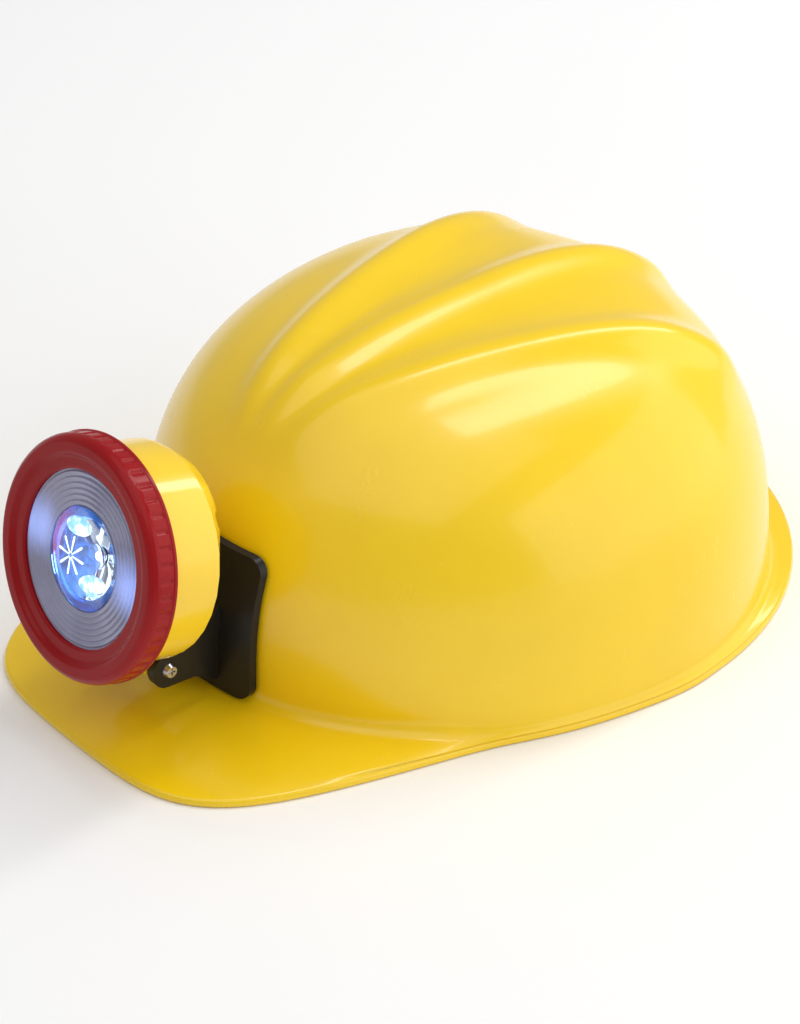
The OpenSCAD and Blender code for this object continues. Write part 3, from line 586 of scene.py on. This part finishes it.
def turned(name, profile, material, where, segments, sharp, **notches):
    """A turned piece in the frame where, from (radius, height) points given back from its face"""
    obj = linked(name, raw_mesh(name, [(p[0], 0, p[1]) for p in profile],
                                edges=[(i, i + 1) for i in range(len(profile) - 1)]))
    values = {key.replace("_", " ").title(): value for key, value in notches.items()}
    run_tree(obj, turned_tree(), {"Segments": segments, "Material": material, **values})
    done = obj.data
    bpy.data.objects.remove(obj)
    done.transform(where)
    return finish_mesh(done, name, material, sharp=math.radians(sharp))


# ------------------------------------------------------------------ the cap's own surfaces
def ease(x):
    k = max(0.0, min(1.0, x))
    return k * k * (3 - 2 * k)


def oval(a, width, length, power):
    """Radius at plan angle a of an oval with these half sizes"""
    return ((abs(math.cos(a)) / width) ** power + (abs(math.sin(a)) / length) ** power) ** (-1 / power)


class CapForm:
    """The dome, its ribs and the rim as formulas, in metres about the dome's centre"""
    def __init__(self, s):
        self.s = s
        self.y = SHELL_REAR - s.rear - s.rear_lip - RIM_BEAD
        flare = s.visor_flare
        self.side = s.visor_half_width * math.cos(flare) + (s.front + s.visor_reach / 2) * math.sin(flare)

    def plan(self, a, inset=0.0):
        s = self.s
        long = s.front if math.sin(a) < 0 else s.rear
        return oval(a, s.half_width - inset, long - inset, s.plan_power)

    def foot(self, a):
        """Height at which the dome starts, a little higher at the brow and lower at the nape"""
        return self.s.base_rise + (0.7 if math.sin(a) < 0 else -1) * MM * math.sin(a) ** 2

    def rib_x(self, y):
        root = self.s.front + RIB_ROOT
        return self.s.rib_spread * max(0.001, (y + root) / root) ** RIB_FAN

    def rib(self, p):
        """How far the ribs raise the dome at p"""
        s = self.s
        low = s.crown * (RIB_FOOT - RIB_FOOT_DROP * ease((p.y + s.front / 2) / s.front))
        fade = ease((p.z - low) / (s.crown * RIB_FADE))
        if fade <= 0:
            return 0.0
        out = self.rib_x(p.y)
        near = [sum(share * math.exp(-((p.x - x) / s.rib_width * sharp) ** 2) for share, sharp in RIB_HUMPS)
                for x in (0, out, -out)]
        return s.rib_height * fade * sum(n ** RIB_MEET for n in near) ** (1 / RIB_MEET)

    def dome(self, a, t, inset):
        s = self.s
        r, foot = self.plan(a, inset) * math.sin(t) ** s.shoulder, self.foot(a)
        p = Vector((r * math.cos(a), r * math.sin(a),
                    foot + (s.crown - inset - foot) * max(0.0, math.cos(t)) ** s.shoulder))
        long = s.front if p.y < 0 else s.rear
        out = Vector((p.x / s.half_width ** 2, p.y / long ** 2, p.z / s.crown ** 2)).normalized()
        return p + out * self.rib(p)

    def visor(self, b):
        """The visor's outline at angle b from straight ahead: front and side, joined round the corner"""
        s = self.s
        front = max(0.001, math.cos(b)) / (s.front + s.visor_reach)
        side = math.cos(math.pi / 2 - s.visor_flare - b) / self.side
        widest = max(front, side)
        corner = (front / widest) ** s.visor_square + (side / widest) ** s.visor_square
        return 1 / (widest * corner ** (1 / s.visor_square))

    def lip(self, a):
        s = self.s
        long = s.front + s.side_lip if math.sin(a) < 0 else s.rear + s.rear_lip
        return oval(a, s.half_width + s.side_lip, long, s.plan_power)

    def rim(self, a):
        """The rim's outline: the lip behind, the visor in front, and a smooth change at the ears"""
        k = ease((math.sin(a) + 0.25) / 0.45)
        b = math.acos(max(-1.0, min(1.0, -math.sin(a))))
        if b > math.radians(100):
            visor = self.lip(a)
        else:
            less, more = sorted((self.visor(b) / MM, (self.plan(a) + self.s.least_lip) / MM))
            visor = more * (1 + (less / more) ** VISOR_MEET) ** (1 / VISOR_MEET) * MM
        return k * self.lip(a) + (1 - k) * visor

    def side_line(self, a, dome_rows, inset):
        """Points from the crown down the dome, round the fillet and out to the rim"""
        s = self.s
        foot, rim = self.foot(a), self.rim(a)
        if inset:
            r0, r1 = self.plan(a, inset), rim - s.wall
            z0, z1 = foot - s.wall * 0.6, s.edge - s.wall + 0.8 * MM
        else:
            r0, r1, z0, z1 = self.plan(a), rim, foot, s.edge
        fillet = min(s.fillet + (s.wall if inset else 0), (r1 - r0) * 0.6)
        t_end = math.acos((fillet / (s.crown - foot)) ** (1 / s.shoulder))

        def brim(k):
            r = r0 + (r1 - r0) * k
            return Vector((r * math.cos(a), r * math.sin(a), z0 + (z1 - z0) * (0.45 * k * k + 0.55 * k)))

        line = [self.dome(a, t_end * (0.5 - 0.5 * math.cos(math.pi * (i / dome_rows) ** 1.15)), inset)
                for i in range(1, dome_rows + 1)]
        k0 = fillet / (r1 - r0)
        start, corner, end = line[-1], brim(0), brim(k0)
        line += [bend(start, corner, end, i / FILLET_STEPS) for i in range(1, FILLET_STEPS + 1)]
        return line + [brim(k0 + (1 - k0) * k) for k in BRIM_STEPS]

    def column(self, a):
        """The whole closed line at plan angle a, outside and inside"""
        s = self.s
        rim = self.rim(a)
        direction = Vector((math.cos(a), math.sin(a), 0))
        at = lambda r, z: direction * r + Vector((0, 0, z))
        edge = [at(rim - 1.3 * MM, s.edge + 0.02 * MM), at(rim - 0.55 * MM, s.edge - 0.12 * MM),
                at(rim - 0.05 * MM, s.edge - 0.55 * MM), at(rim + 0.25 * MM, s.edge - 1.2 * MM),
                at(rim + 0.3 * MM, s.edge * 0.3), at(rim + 0.12 * MM, 0.25 * MM), at(rim - 0.2 * MM, 0.0),
                at(rim - s.wall * 0.7, 0.0), at(rim - s.wall * 0.85, 0.25 * MM)]
        return self.side_line(a, ROWS_OUTSIDE, 0.0) + edge + self.side_line(a, ROWS_INSIDE, s.wall)[::-1]


# ------------------------------------------------------------------ operators: the cap
class BuildStep(bpy.types.Operator):
    bl_options = {"REGISTER", "UNDO"}


class CAPLAMP_OT_shell(BuildStep):
    """Moulds the ribbed cap with its visor and rim"""
    bl_idname = "caplamp.shell"
    bl_label = "Cap Shell"

    def execute(self, context):
        s, colours = sizes("cap_shell"), sizes("cap_colours")
        form = CapForm(s)
        columns = [form.column(math.tau * i / s.around) for i in range(s.around)]
        rows = [list(row) for row in zip(*columns)]
        verts, faces = loft(rows)
        top = Vector((0, 0, s.crown + s.rib_height))
        verts += [top, top - Vector((0, 0, s.wall))]
        last = (len(rows) - 1) * s.around
        for i in range(s.around):
            n = (i + 1) % s.around
            faces += [(len(verts) - 2, n, i), (len(verts) - 1, last + i, last + n)]
        verts = [v + Vector((0, form.y, 0)) for v in verts]
        yellow = moulded("Cap yellow", colours.shell, roughness=0.25, grain=0.03, streak=0.08, spread=0.05)
        place_piece(new_object("cap_shell", verts, faces, yellow), "cap", "shell_yellow", "helmet_shell")
        return {"FINISHED"}


def band_size(h, s, a):
    """Half width and half length of the headband's oval, on the side that plan angle a points to"""
    return (s.half_width - s.wall - h.gap_side,
            (s.front if math.sin(a) < 0 else s.rear) - s.wall - h.gap_end)


def oval_point(h, s, form, a, inward, z):
    width, length = band_size(h, s, a)
    return Vector(((width - inward) * math.cos(a), form.y + (length - inward) * math.sin(a), z))


def swept_band(name, material, section, from_a, to_a, h, s, form):
    """A band along the headband's oval; section gives (inward, height) points"""
    count = round((to_a - from_a) / BAND_STEP)
    angles = [math.radians(from_a + (to_a - from_a) * i / count) for i in range(count + 1)]
    rings = [[oval_point(h, s, form, a, inward, z) for inward, z in section] for a in angles]
    return new_object(name, *capped(rings), material, sharp=math.radians(50))


def box_section(inner, outer, low, high, radius):
    """A rectangle with round corners as (inward, height) points, anticlockwise"""
    points = []
    corners = ((outer - radius, high - radius, 0), (inner + radius, high - radius, 90),
               (inner + radius, low + radius, 180), (outer - radius, low + radius, 270))
    for x, z, start in corners:
        for k in range(4):
            a = math.radians(start + 30 * k)
            points.append((x + radius * math.cos(a), z + radius * math.sin(a)))
    return points


class CAPLAMP_OT_harness(BuildStep):
    """Makes the headband, nape slider, brow pad and the two crown straps"""
    bl_idname = "caplamp.harness"
    bl_label = "Harness"

    def execute(self, context):
        s, h = sizes("cap_shell"), sizes("cap_harness")
        form = CapForm(s)
        dark = moulded("Harness black", (0.028, 0.028, 0.03), 0.42, 0.12, 0.05, coat=0.0)
        t, low, high, corner = h.band_thickness, h.band_low, h.band_low + h.band_height, 0.6 * MM
        for name, node, section, ends in (
                ("headband_strip", "headband", box_section(0, t, low, high, corner), (BAND_FROM, BAND_TO)),
                ("nape_slider", "nape_strap",
                 box_section(-t - SEAT_GAP, -SEAT_GAP, low + 3 * MM, high - 3 * MM, corner),
                 (SLIDER_FROM, SLIDER_TO))):
            place_piece(swept_band(name, dark, section, *ends, h, s, form), "cap", "harness_plastic", node)
        for i in range(1, 5):
            softened(f"clip_{i}", dark, "harness_plastic", "cap", 0.4)
        grey = moulded("Peg grey", (0.06, 0.06, 0.065), 0.4, 0.1, 0.05, coat=0.0)
        softened("nape_pegs", grey, "peg_plastic", "cap", 0.2)
        self.brow_pad(h, s, form)
        self.straps(h, s, form)
        return {"FINISHED"}

    def brow_pad(self, h, s, form):
        """A crowned foam pad with sewn channels, and the stitches along its edge seam"""
        face = h.band_thickness + SEAT_GAP
        low, high = h.band_low - 1 * MM, h.band_low + h.band_height + 2 * MM
        mid, half = (low + high) / 2, (high - low) / 2
        rings, seams = [], ([], [])
        for i in range(PAD_STEPS + 1):
            share = i / PAD_STEPS
            a = math.radians(PAD_FROM + PAD_ARC * share)
            close = min(1.0, min(share, 1 - share) * 22) ** 0.5
            channel = abs(math.sin(math.pi * share * PAD_CHANNELS)) ** 0.35
            swell = h.pad_thickness * (0.45 + 0.55 * channel) * (0.25 + 0.75 * close)
            ring = []
            for k in range(PAD_SIDES):
                q = math.tau * k / PAD_SIDES
                up, out = math.sin(q), math.cos(q)
                z = mid + half * (0.82 + 0.18 * close) * math.copysign(abs(up) ** 0.72, up)
                crown = 1 + out ** 0.55 if out > 0 else 1 - (-out) ** 0.4
                ring.append(oval_point(h, s, form, a, face + swell * 0.5 * crown, z))
            rings.append(ring)
            for line, side in zip(seams, (-1, 1)):
                if 4 < i < PAD_STEPS - 4:
                    line.append(oval_point(h, s, form, a, face + swell * 0.93, mid + side * half * 0.62))
        pad = new_object("brow_cushion", *capped(rings), cloth("Brow cloth", (0.03, 0.03, 0.033)))
        place_piece(pad, "cap", "brow_pad", "sweatband")
        count = len(seams[0])
        seam = linked("brow_stitches", raw_mesh("brow_stitches", seams[0] + seams[1], edges=[
            (start + i, start + i + 1) for start in (0, count) for i in range(count - 1)]))
        thread = cloth("Thread", (0.12, 0.12, 0.125))
        run_tree(seam, stitch_tree(), {"Step": h.stitch, "Thickness": 0.28 * MM, "Material": thread})
        place_piece(seam, "cap", "brow_pad")

    def straps(self, h, s, form):
        """Two woven straps that cross under the crown"""
        tape = webbing("Woven tape", (0.05, 0.05, 0.055))
        top = s.crown - s.wall - h.crown_room
        for hand, plan, drop, clips in (("left", STRAP_LINE, 0.0, ["clip_1", "clip_3"]),
                                        ("right", math.pi - STRAP_LINE, STRAP_STACK, ["clip_2", "clip_4"])):
            self.strap(hand, plan, top - drop, clips, h, s, form, tape)

    def strap(self, hand, plan, top, clips, h, s, form, tape):
        """An arch of tape over the plan line, from clip to clip, with its own length as its UV map"""
        direction = Vector((math.cos(plan), math.sin(plan), 0))
        across = Vector((-direction.y, direction.x, 0))
        reach = []
        for b in (plan + math.pi, plan):
            width, length = band_size(h, s, b)
            a = math.atan2(math.sin(b) / length, math.cos(b) / width)
            reach.append(math.hypot((width + h.strap_out) * math.cos(a),
                                    (length + h.strap_out) * math.sin(a)))
        mid = h.strap_thickness / 2 + STRAP_GAP
        rows, uvs, run = [], [], 0.0
        for i in range(STRAP_STEPS + 1):
            q = math.pi * i / STRAP_STEPS
            x = -math.cos(q)
            p = direction * x * ((reach[0] if x < 0 else reach[1]) - mid)
            p = p + Vector((0, form.y, h.strap_foot + (top - mid - h.strap_foot) * math.sin(q)))
            run += (p - last).length if rows else 0.0
            last = p
            sides = [(k / STRAP_COLUMNS - 0.5) * h.strap_width for k in range(STRAP_COLUMNS + 1)]
            rows.append([p + across * side for side in sides])
            uvs += [(side, run) for side in sides]
        obj = linked(f"strap_{hand}", raw_mesh(f"strap_{hand}", *loft(rows, closed=False)))
        layer = obj.data.uv_layers.new(name="Tape")
        for loop in obj.data.loops:
            layer.data[loop.index].uv = uvs[loop.vertex_index]
        for polygon in obj.data.polygons:
            polygon.use_smooth = True
        obj.data.materials.append(tape)
        thick = obj.modifiers.new("Tape thickness", "SOLIDIFY")
        thick.thickness, thick.offset = h.strap_thickness, 0.0
        place_piece(settle(obj), "cap", "webbing", f"crown_strap_{hand}")


class CAPLAMP_OT_bracket(BuildStep):
    """Moulds the bracket on the brow, with its pad, screws and hinge screw"""
    bl_idname = "caplamp.bracket"
    bl_label = "Bracket"

    def execute(self, context):
        colours = sizes("cap_colours")
        black = moulded("Bracket black", colours.bracket, 0.36, 0.06, 0.05, coat=0.08, shine=0.3)
        steel = metal("Zinc steel", (0.62, 0.63, 0.66), 0.24)
        softened("bracket", black, "bracket_black", "cap", 0.6, 3)
        softened("bracket_pad", rubber("Pad rubber"), "seal_rubber", "cap", 0.15)
        for node in ("bracket_screws", "bracket_washers", "bracket_nuts", "hinge_screw", "hinge_nut"):
            softened(node, steel, "steel", "cap", 0.15)
        nylon = moulded("Nylon", (0.62, 0.6, 0.52), 0.4, 0.05, 0.02, coat=0.0)
        softened("friction_washers", nylon, "nylon", "cap", 0.05)
        return {"FINISHED"}


# ------------------------------------------------------------------ operators: the lamp
def lamp_frame():
    """X to the wearer's left, Y up and Z forward along the lamp's axis, from the bezel's face"""
    forward, side = Vector(BEZEL_TURN["axis"]).normalized(), Vector((1, 0, 0))
    axes = Matrix((side, forward.cross(side), forward)).transposed().to_4x4()
    return Matrix.Translation(Vector(BEZEL_TURN["pos_m"])) @ axes


class CAPLAMP_OT_bezel(BuildStep):
    """Turns the red bezel with its grip notches"""
    bl_idname = "caplamp.bezel"
    bl_label = "Bezel"

    def execute(self, context):
        s, colours = sizes("cap_lamp"), sizes("cap_colours")
        r, c, o, back = s.bezel_radius / MM, s.crest_radius / MM, s.opening / MM, -s.bezel_depth / MM
        lens, bore = -s.lens_depth / MM, s.neck / MM + BEZEL_PLAY
        behind = lens - s.lens_thickness / MM - 0.4
        outline = [(o, lens), (o, -2.2), (o + 0.7, -1.75), (c - 4.2, -1.55), (c - 2.6, -0.1), (c + 0.9, -0.1),
                   (c + 2.2, -1.2), (r - 0.6, -2.2), (r - 0.3, -3.3), (r - 0.3, back + 1.4), (r, back + 1.1),
                   (r, back), (bore, back), (bore, behind), (o + 2.6, behind), (o + 2.6, lens), (o, lens)]
        radii = [0, 0.4, 0.4, 1.4, 1.6, 1.8, 1.2, 0.8, 0.5, 0.25, 0.25, 0.35, 0.3, 0.2, 0.2, 0.1, 0]
        dense = []
        for p in rounded(outline, radii):
            if dense:
                step = p - dense[-1]
                parts = int(step.length / BEZEL_MESH) + 1
                for _ in range(1, parts):
                    dense.append(dense[-1] + step * (1 / parts))
            dense.append(p)
        red = moulded("Bezel red", colours.bezel, 0.22, 0.03, 0.08, coat=0.05, spread=0.12, shine=0.16)
        ring = turned("bezel_grip_ring", [p * MM for p in dense], red, lamp_frame(), s.notches * 12, 40,
                      notches=s.notches, notch_depth=s.notch_depth, notch_low=(back + 1.7) * MM,
                      notch_high=-3.1 * MM, notch_from_radius=(r - 1.0) * MM)
        place_piece(ring, "bezel", "bezel_red", "bezel_ring")
        softened("lens_seal", rubber("Seal rubber"), "seal_rubber", "bezel", 0.1)
        return {"FINISHED"}


class CAPLAMP_OT_lens(BuildStep):
    """Moulds the lens: stepped rings around a clear bulging eye"""
    bl_idname = "caplamp.lens"
    bl_label = "Lens"

    def execute(self, context):
        s, colours = sizes("cap_lamp"), sizes("cap_colours")
        where = lamp_frame()
        eye, edge, front = s.eye, s.opening + 2.4 * MM, -s.lens_depth
        back, seat = front - s.lens_thickness, front - 0.1 * MM
        count = s.rings * 12
        rings = [(eye, back), (eye, seat)]
        for i in range(count + 1):
            k = i / count
            saw = (k * s.rings) % 1.0
            step = saw / 0.8 if saw < 0.8 else (1 - saw) / 0.2
            rings.append((eye + (s.opening - 0.6 * MM - eye) * k, front - 0.45 * MM + 0.6 * MM * step))
        rings += [(s.opening - 0.2 * MM, seat), (edge, seat), (edge, back), (eye, back)]
        # The milky lens's finish, with its painted blue-white glow
        frosted_lens_with_painted_light = lens_plastic("Lens rings", colours.lens, where.translation)
        outer = turned("lens_rings", rings, frosted_lens_with_painted_light, where, 192, 60)
        place_piece(outer, "bezel", "lens_clear", "lens")
        dome = [(AXIS, front + s.eye_bulge)]
        for i in range(1, 25):
            k = i / 24
            dome.append((eye * 0.985 * k, front - 0.3 * MM + (s.eye_bulge + 0.3 * MM) * (1 - k * k)))
        dome += [(eye * 0.985, back), (AXIS, back)]
        clear = turned("lens_eye", dome, clear_plastic("Lens clear", (0.93, 0.96, 1.0)), where, 160, 40)
        place_piece(clear, "bezel", "lens_clear")
        return {"FINISHED"}


class CAPLAMP_OT_light(BuildStep):
    """Makes the plated cup, the diode and the star of painted glare in front of it"""
    bl_idname = "caplamp.light"
    bl_label = "Light"

    def execute(self, context):
        s, colours = sizes("cap_lamp"), sizes("cap_colours")
        where = lamp_frame()
        front = -s.lens_depth - s.lens_thickness - 1.35 * MM
        cup = mirror_cup("Plated cup", s.eye)
        r, rim = s.eye, s.neck - 2 * MM
        bowl = [(rim, front), (r + 0.6 * MM, front), (r, front - 0.4 * MM)]
        for i in range(1, 19):
            k = i / 18
            bowl.append((r * (1 - 0.66 * k ** 1.5), front - 0.4 * MM - 9.2 * MM * k ** 0.8))
        bowl += [(5.4 * MM, front - 10.8 * MM), (r + 1.2 * MM, front - 1.6 * MM), (rim, front - 1.6 * MM),
                 (rim, front)]
        place_piece(turned("plated_cup", bowl, cup, where, 128, 40), "lamp", "reflector_chrome", "reflector")
        r, low, high = 4 * MM, front - 6.6 * MM, front + 1.0 * MM
        guide = [(AXIS, low), (r * 0.8, low), (r, low + 0.3 * MM), (s.eye * 0.76, front + 0.4 * MM),
                 (s.eye + 1.6 * MM, front + 0.35 * MM), (s.eye + 2 * MM, front + 0.5 * MM),
                 (s.eye + 2 * MM, high - 0.15 * MM), (s.eye + 1.85 * MM, high), (AXIS, high)]
        clear = clear_plastic("Guide clear", (0.86, 0.93, 1.0))
        place_piece(turned("clear_guide", guide, clear, where, 96, 30), "lamp", "guide_clear", "light_guide")
        softened("led", lit("Lit white", colours.light, 9.0), "led_white", "lamp", 0.1)
        # Painted glare: the star glows though it is no lamp
        self.star(s, where, front, lit("Star white", (0.72, 0.88, 1.0), 2.0))
        self.spots(where, front, glint("Pool of light"))
        return {"FINISHED"}

    def star(self, s, where, front, glow):
        """Painted glare: thin glowing rays set in a ring, each a tapered bar"""
        low, high, half = 0.12 * s.star_radius, s.star_radius, STAR_RAY
        verts = []
        for x, w in ((low, half * 0.45), (high * 0.9, half * 1.25), (high, half * 0.6)):
            verts += [(x, -w, 0), (x, w, 0), (x, w * 0.6, 0.35 * MM), (x, -w * 0.6, 0.35 * MM)]
        faces = [(0, 1, 2, 3), (8, 11, 10, 9)]
        for j in (0, 4):
            faces += [(j + i, j + 4 + i, j + 4 + (i + 1) % 4, j + (i + 1) % 4) for i in range(4)]
        obj = linked("light_star", raw_mesh("light_star", verts, faces))
        run_tree(obj, array_tree(), {"Count": s.star_rays, "Radius": 0.0, "Material": glow})
        data = obj.data
        bpy.data.objects.remove(obj)
        data.transform(where @ Matrix.Translation((*STAR_PLACE, front + 0.55 * MM)))
        place_piece(finish_mesh(data, "light_star", glow, smooth=False), "lamp", "led_white")

    def spots(self, where, front, glow):
        """Two glowing ovals beside the star: painted pools of light"""
        for name, x, y, turn in POOLS:
            bm = bmesh.new()
            bmesh.ops.create_uvsphere(bm, u_segments=40, v_segments=20, radius=1)
            mesh = bpy.data.meshes.new(name)
            bm.to_mesh(mesh)
            bm.free()
            mesh.transform(where @ Matrix.Translation((x * MM, y * MM, front + 0.3 * MM))
                           @ Matrix.Rotation(math.radians(turn), 4, "Z")
                           @ Matrix.Diagonal(POOL_SIZE))
            place_piece(finish_mesh(mesh, name, glow), "lamp", "led_white")


class CAPLAMP_OT_housing(BuildStep):
    """Finishes the lamp's housing, cover and the pieces inside"""
    bl_idname = "caplamp.housing"
    bl_label = "Housing"

    def execute(self, context):
        colours = sizes("cap_colours")
        yellow = moulded("Housing yellow", colours.housing, 0.2, 0.03, 0.06, coat=0.45)
        steel = metal("Bright steel", (0.7, 0.71, 0.73), 0.2)
        for node, width in (("lamp_housing", 0.45), ("rear_cover", 0.5)):
            softened(node, yellow, "lamp_yellow", "lamp", width, 3)
        softened("cover_seal", rubber("Gasket rubber"), "seal_rubber", "lamp", 0.1)
        for node in ("cover_screws", "board_screws", "contact_springs"):
            softened(node, steel, "steel", "lamp", 0.1)
        brass = metal("Spring brass", (0.68, 0.5, 0.2), 0.26)
        for node in ("contact_plates", "switch_contact"):
            softened(node, brass, "contact_brass", "lamp", 0.08)
        green = moulded("Board green", (0.01, 0.08, 0.03), 0.3, 0.03, 0.05)
        softened("led_board", green, "board_green", "lamp", 0.1)
        tray = moulded("Tray black", (0.015, 0.015, 0.016), 0.4, 0.08, 0.05, coat=0.0)
        softened("battery_tray", tray, "bracket_black", "lamp", 0.2)
        wrap = moulded("Cell wrap", (0.02, 0.06, 0.05), 0.25, 0.03, 0.03, coat=0.4)
        for node in ("battery_1", "battery_2"):
            softened(node, wrap, "cell_wrap", "lamp", 0.3)
        return {"FINISHED"}


# ------------------------------------------------------------------ the stage
def panel(name, target, direction, distance, width, height, radiance):
    """A soft rectangular light that looks at target"""
    light = bpy.data.lights.new(name, "AREA")
    light.shape, light.size, light.size_y = "RECTANGLE", width, height
    light.energy = radiance * math.pi * width * height
    obj = linked(name, light)
    obj.location = target + direction.normalized() * distance
    obj.rotation_mode = "QUATERNION"
    obj.rotation_quaternion = direction.to_track_quat("Z", "Y")


class CAPLAMP_OT_stage(BuildStep):
    """Sets the floor, the soft lights and the camera"""
    bl_idname = "caplamp.stage"
    bl_label = "Stage"

    def execute(self, context):
        scene, colours, s = context.scene, sizes("cap_colours"), sizes("cap_shell")
        scene.view_settings.view_transform = "Standard"
        signs = ((-1, -1), (1, -1), (1, 1), (-1, 1))
        corners = [(x * FLOOR_HALF, y * FLOOR_HALF, FLOOR_DROP) for x, y in signs]
        floor = new_object("floor", corners, [(0, 1, 2, 3)], floor_paint("Floor paint", colours.floor), False)
        world = bpy.data.worlds.new("Pale room")
        world.use_nodes = True
        sky = world.node_tree.nodes["Background"].inputs
        sky["Color"].default_value, sky["Strength"].default_value = (1, 1, 1, 1), ROOM_LIGHT
        scene.world = world
        middle = Vector((0, CapForm(s).y, 60 * MM))
        for name, (direction, *light) in PANELS.items():
            panel(name, middle, Vector(direction), *light)
        self.camera(scene, middle)
        return {"FINISHED"}

    def camera(self, scene, middle):
        """Stands off the dome's centre and looks just above the origin"""
        level = math.cos(ELEVATION)
        back = Vector((math.sin(AZIMUTH) * level, -math.cos(AZIMUTH) * level, math.sin(ELEVATION)))
        side = Vector((math.cos(AZIMUTH), math.sin(AZIMUTH), 0))
        eye = middle + back * DISTANCE
        forward = (AIM - eye).normalized()
        right = (side - forward * side.dot(forward)).normalized()
        up = right.cross(forward)
        scene.camera = linked("Studio camera", bpy.data.cameras.new("Studio camera"))
        scene.camera.data.lens, scene.camera.data.sensor_width = LENS, SENSOR
        axes = Matrix((right, up, -forward)).transposed().to_4x4()
        scene.camera.matrix_world = Matrix.Translation(eye) @ axes


# ------------------------------------------------------------------ panel and registration
STEPS = (CAPLAMP_OT_stage, CAPLAMP_OT_shell, CAPLAMP_OT_harness, CAPLAMP_OT_bracket, CAPLAMP_OT_housing,
         CAPLAMP_OT_light, CAPLAMP_OT_bezel, CAPLAMP_OT_lens)
GROUPS = {"cap_shell": CapShellSizes, "cap_lamp": CapLampSizes, "cap_harness": CapHarnessSizes,
          "cap_colours": CapLampColours}


class CAPLAMP_PT_panel(bpy.types.Panel):
    """Lists the steps that build the cap lamp"""
    bl_idname = "CAPLAMP_PT_panel"
    bl_label = "Cap Lamp"
    bl_space_type = "VIEW_3D"
    bl_region_type = "UI"
    bl_category = "Cap Lamp"

    def draw(self, context):
        for step in STEPS:
            self.layout.operator(step.bl_idname)
        for name, group in GROUPS.items():
            box = self.layout.box()
            for key in group.__annotations__:
                box.prop(getattr(context.scene, name), key)


def register():
    for group in GROUPS.values():
        bpy.utils.register_class(group)
    for cls in (*STEPS, CAPLAMP_PT_panel):
        bpy.utils.register_class(cls)
    for name, group in GROUPS.items():
        setattr(bpy.types.Scene, name, PointerProperty(type=group))


def unregister():
    for name in GROUPS:
        delattr(bpy.types.Scene, name)
    for cls in (CAPLAMP_PT_panel, *reversed(STEPS), *GROUPS.values()):
        bpy.utils.unregister_class(cls)


def main():
    register()
    for step in STEPS:
        getattr(bpy.ops.caplamp, step.bl_idname.split(".")[1])()


if __name__ == "__main__":
    main()
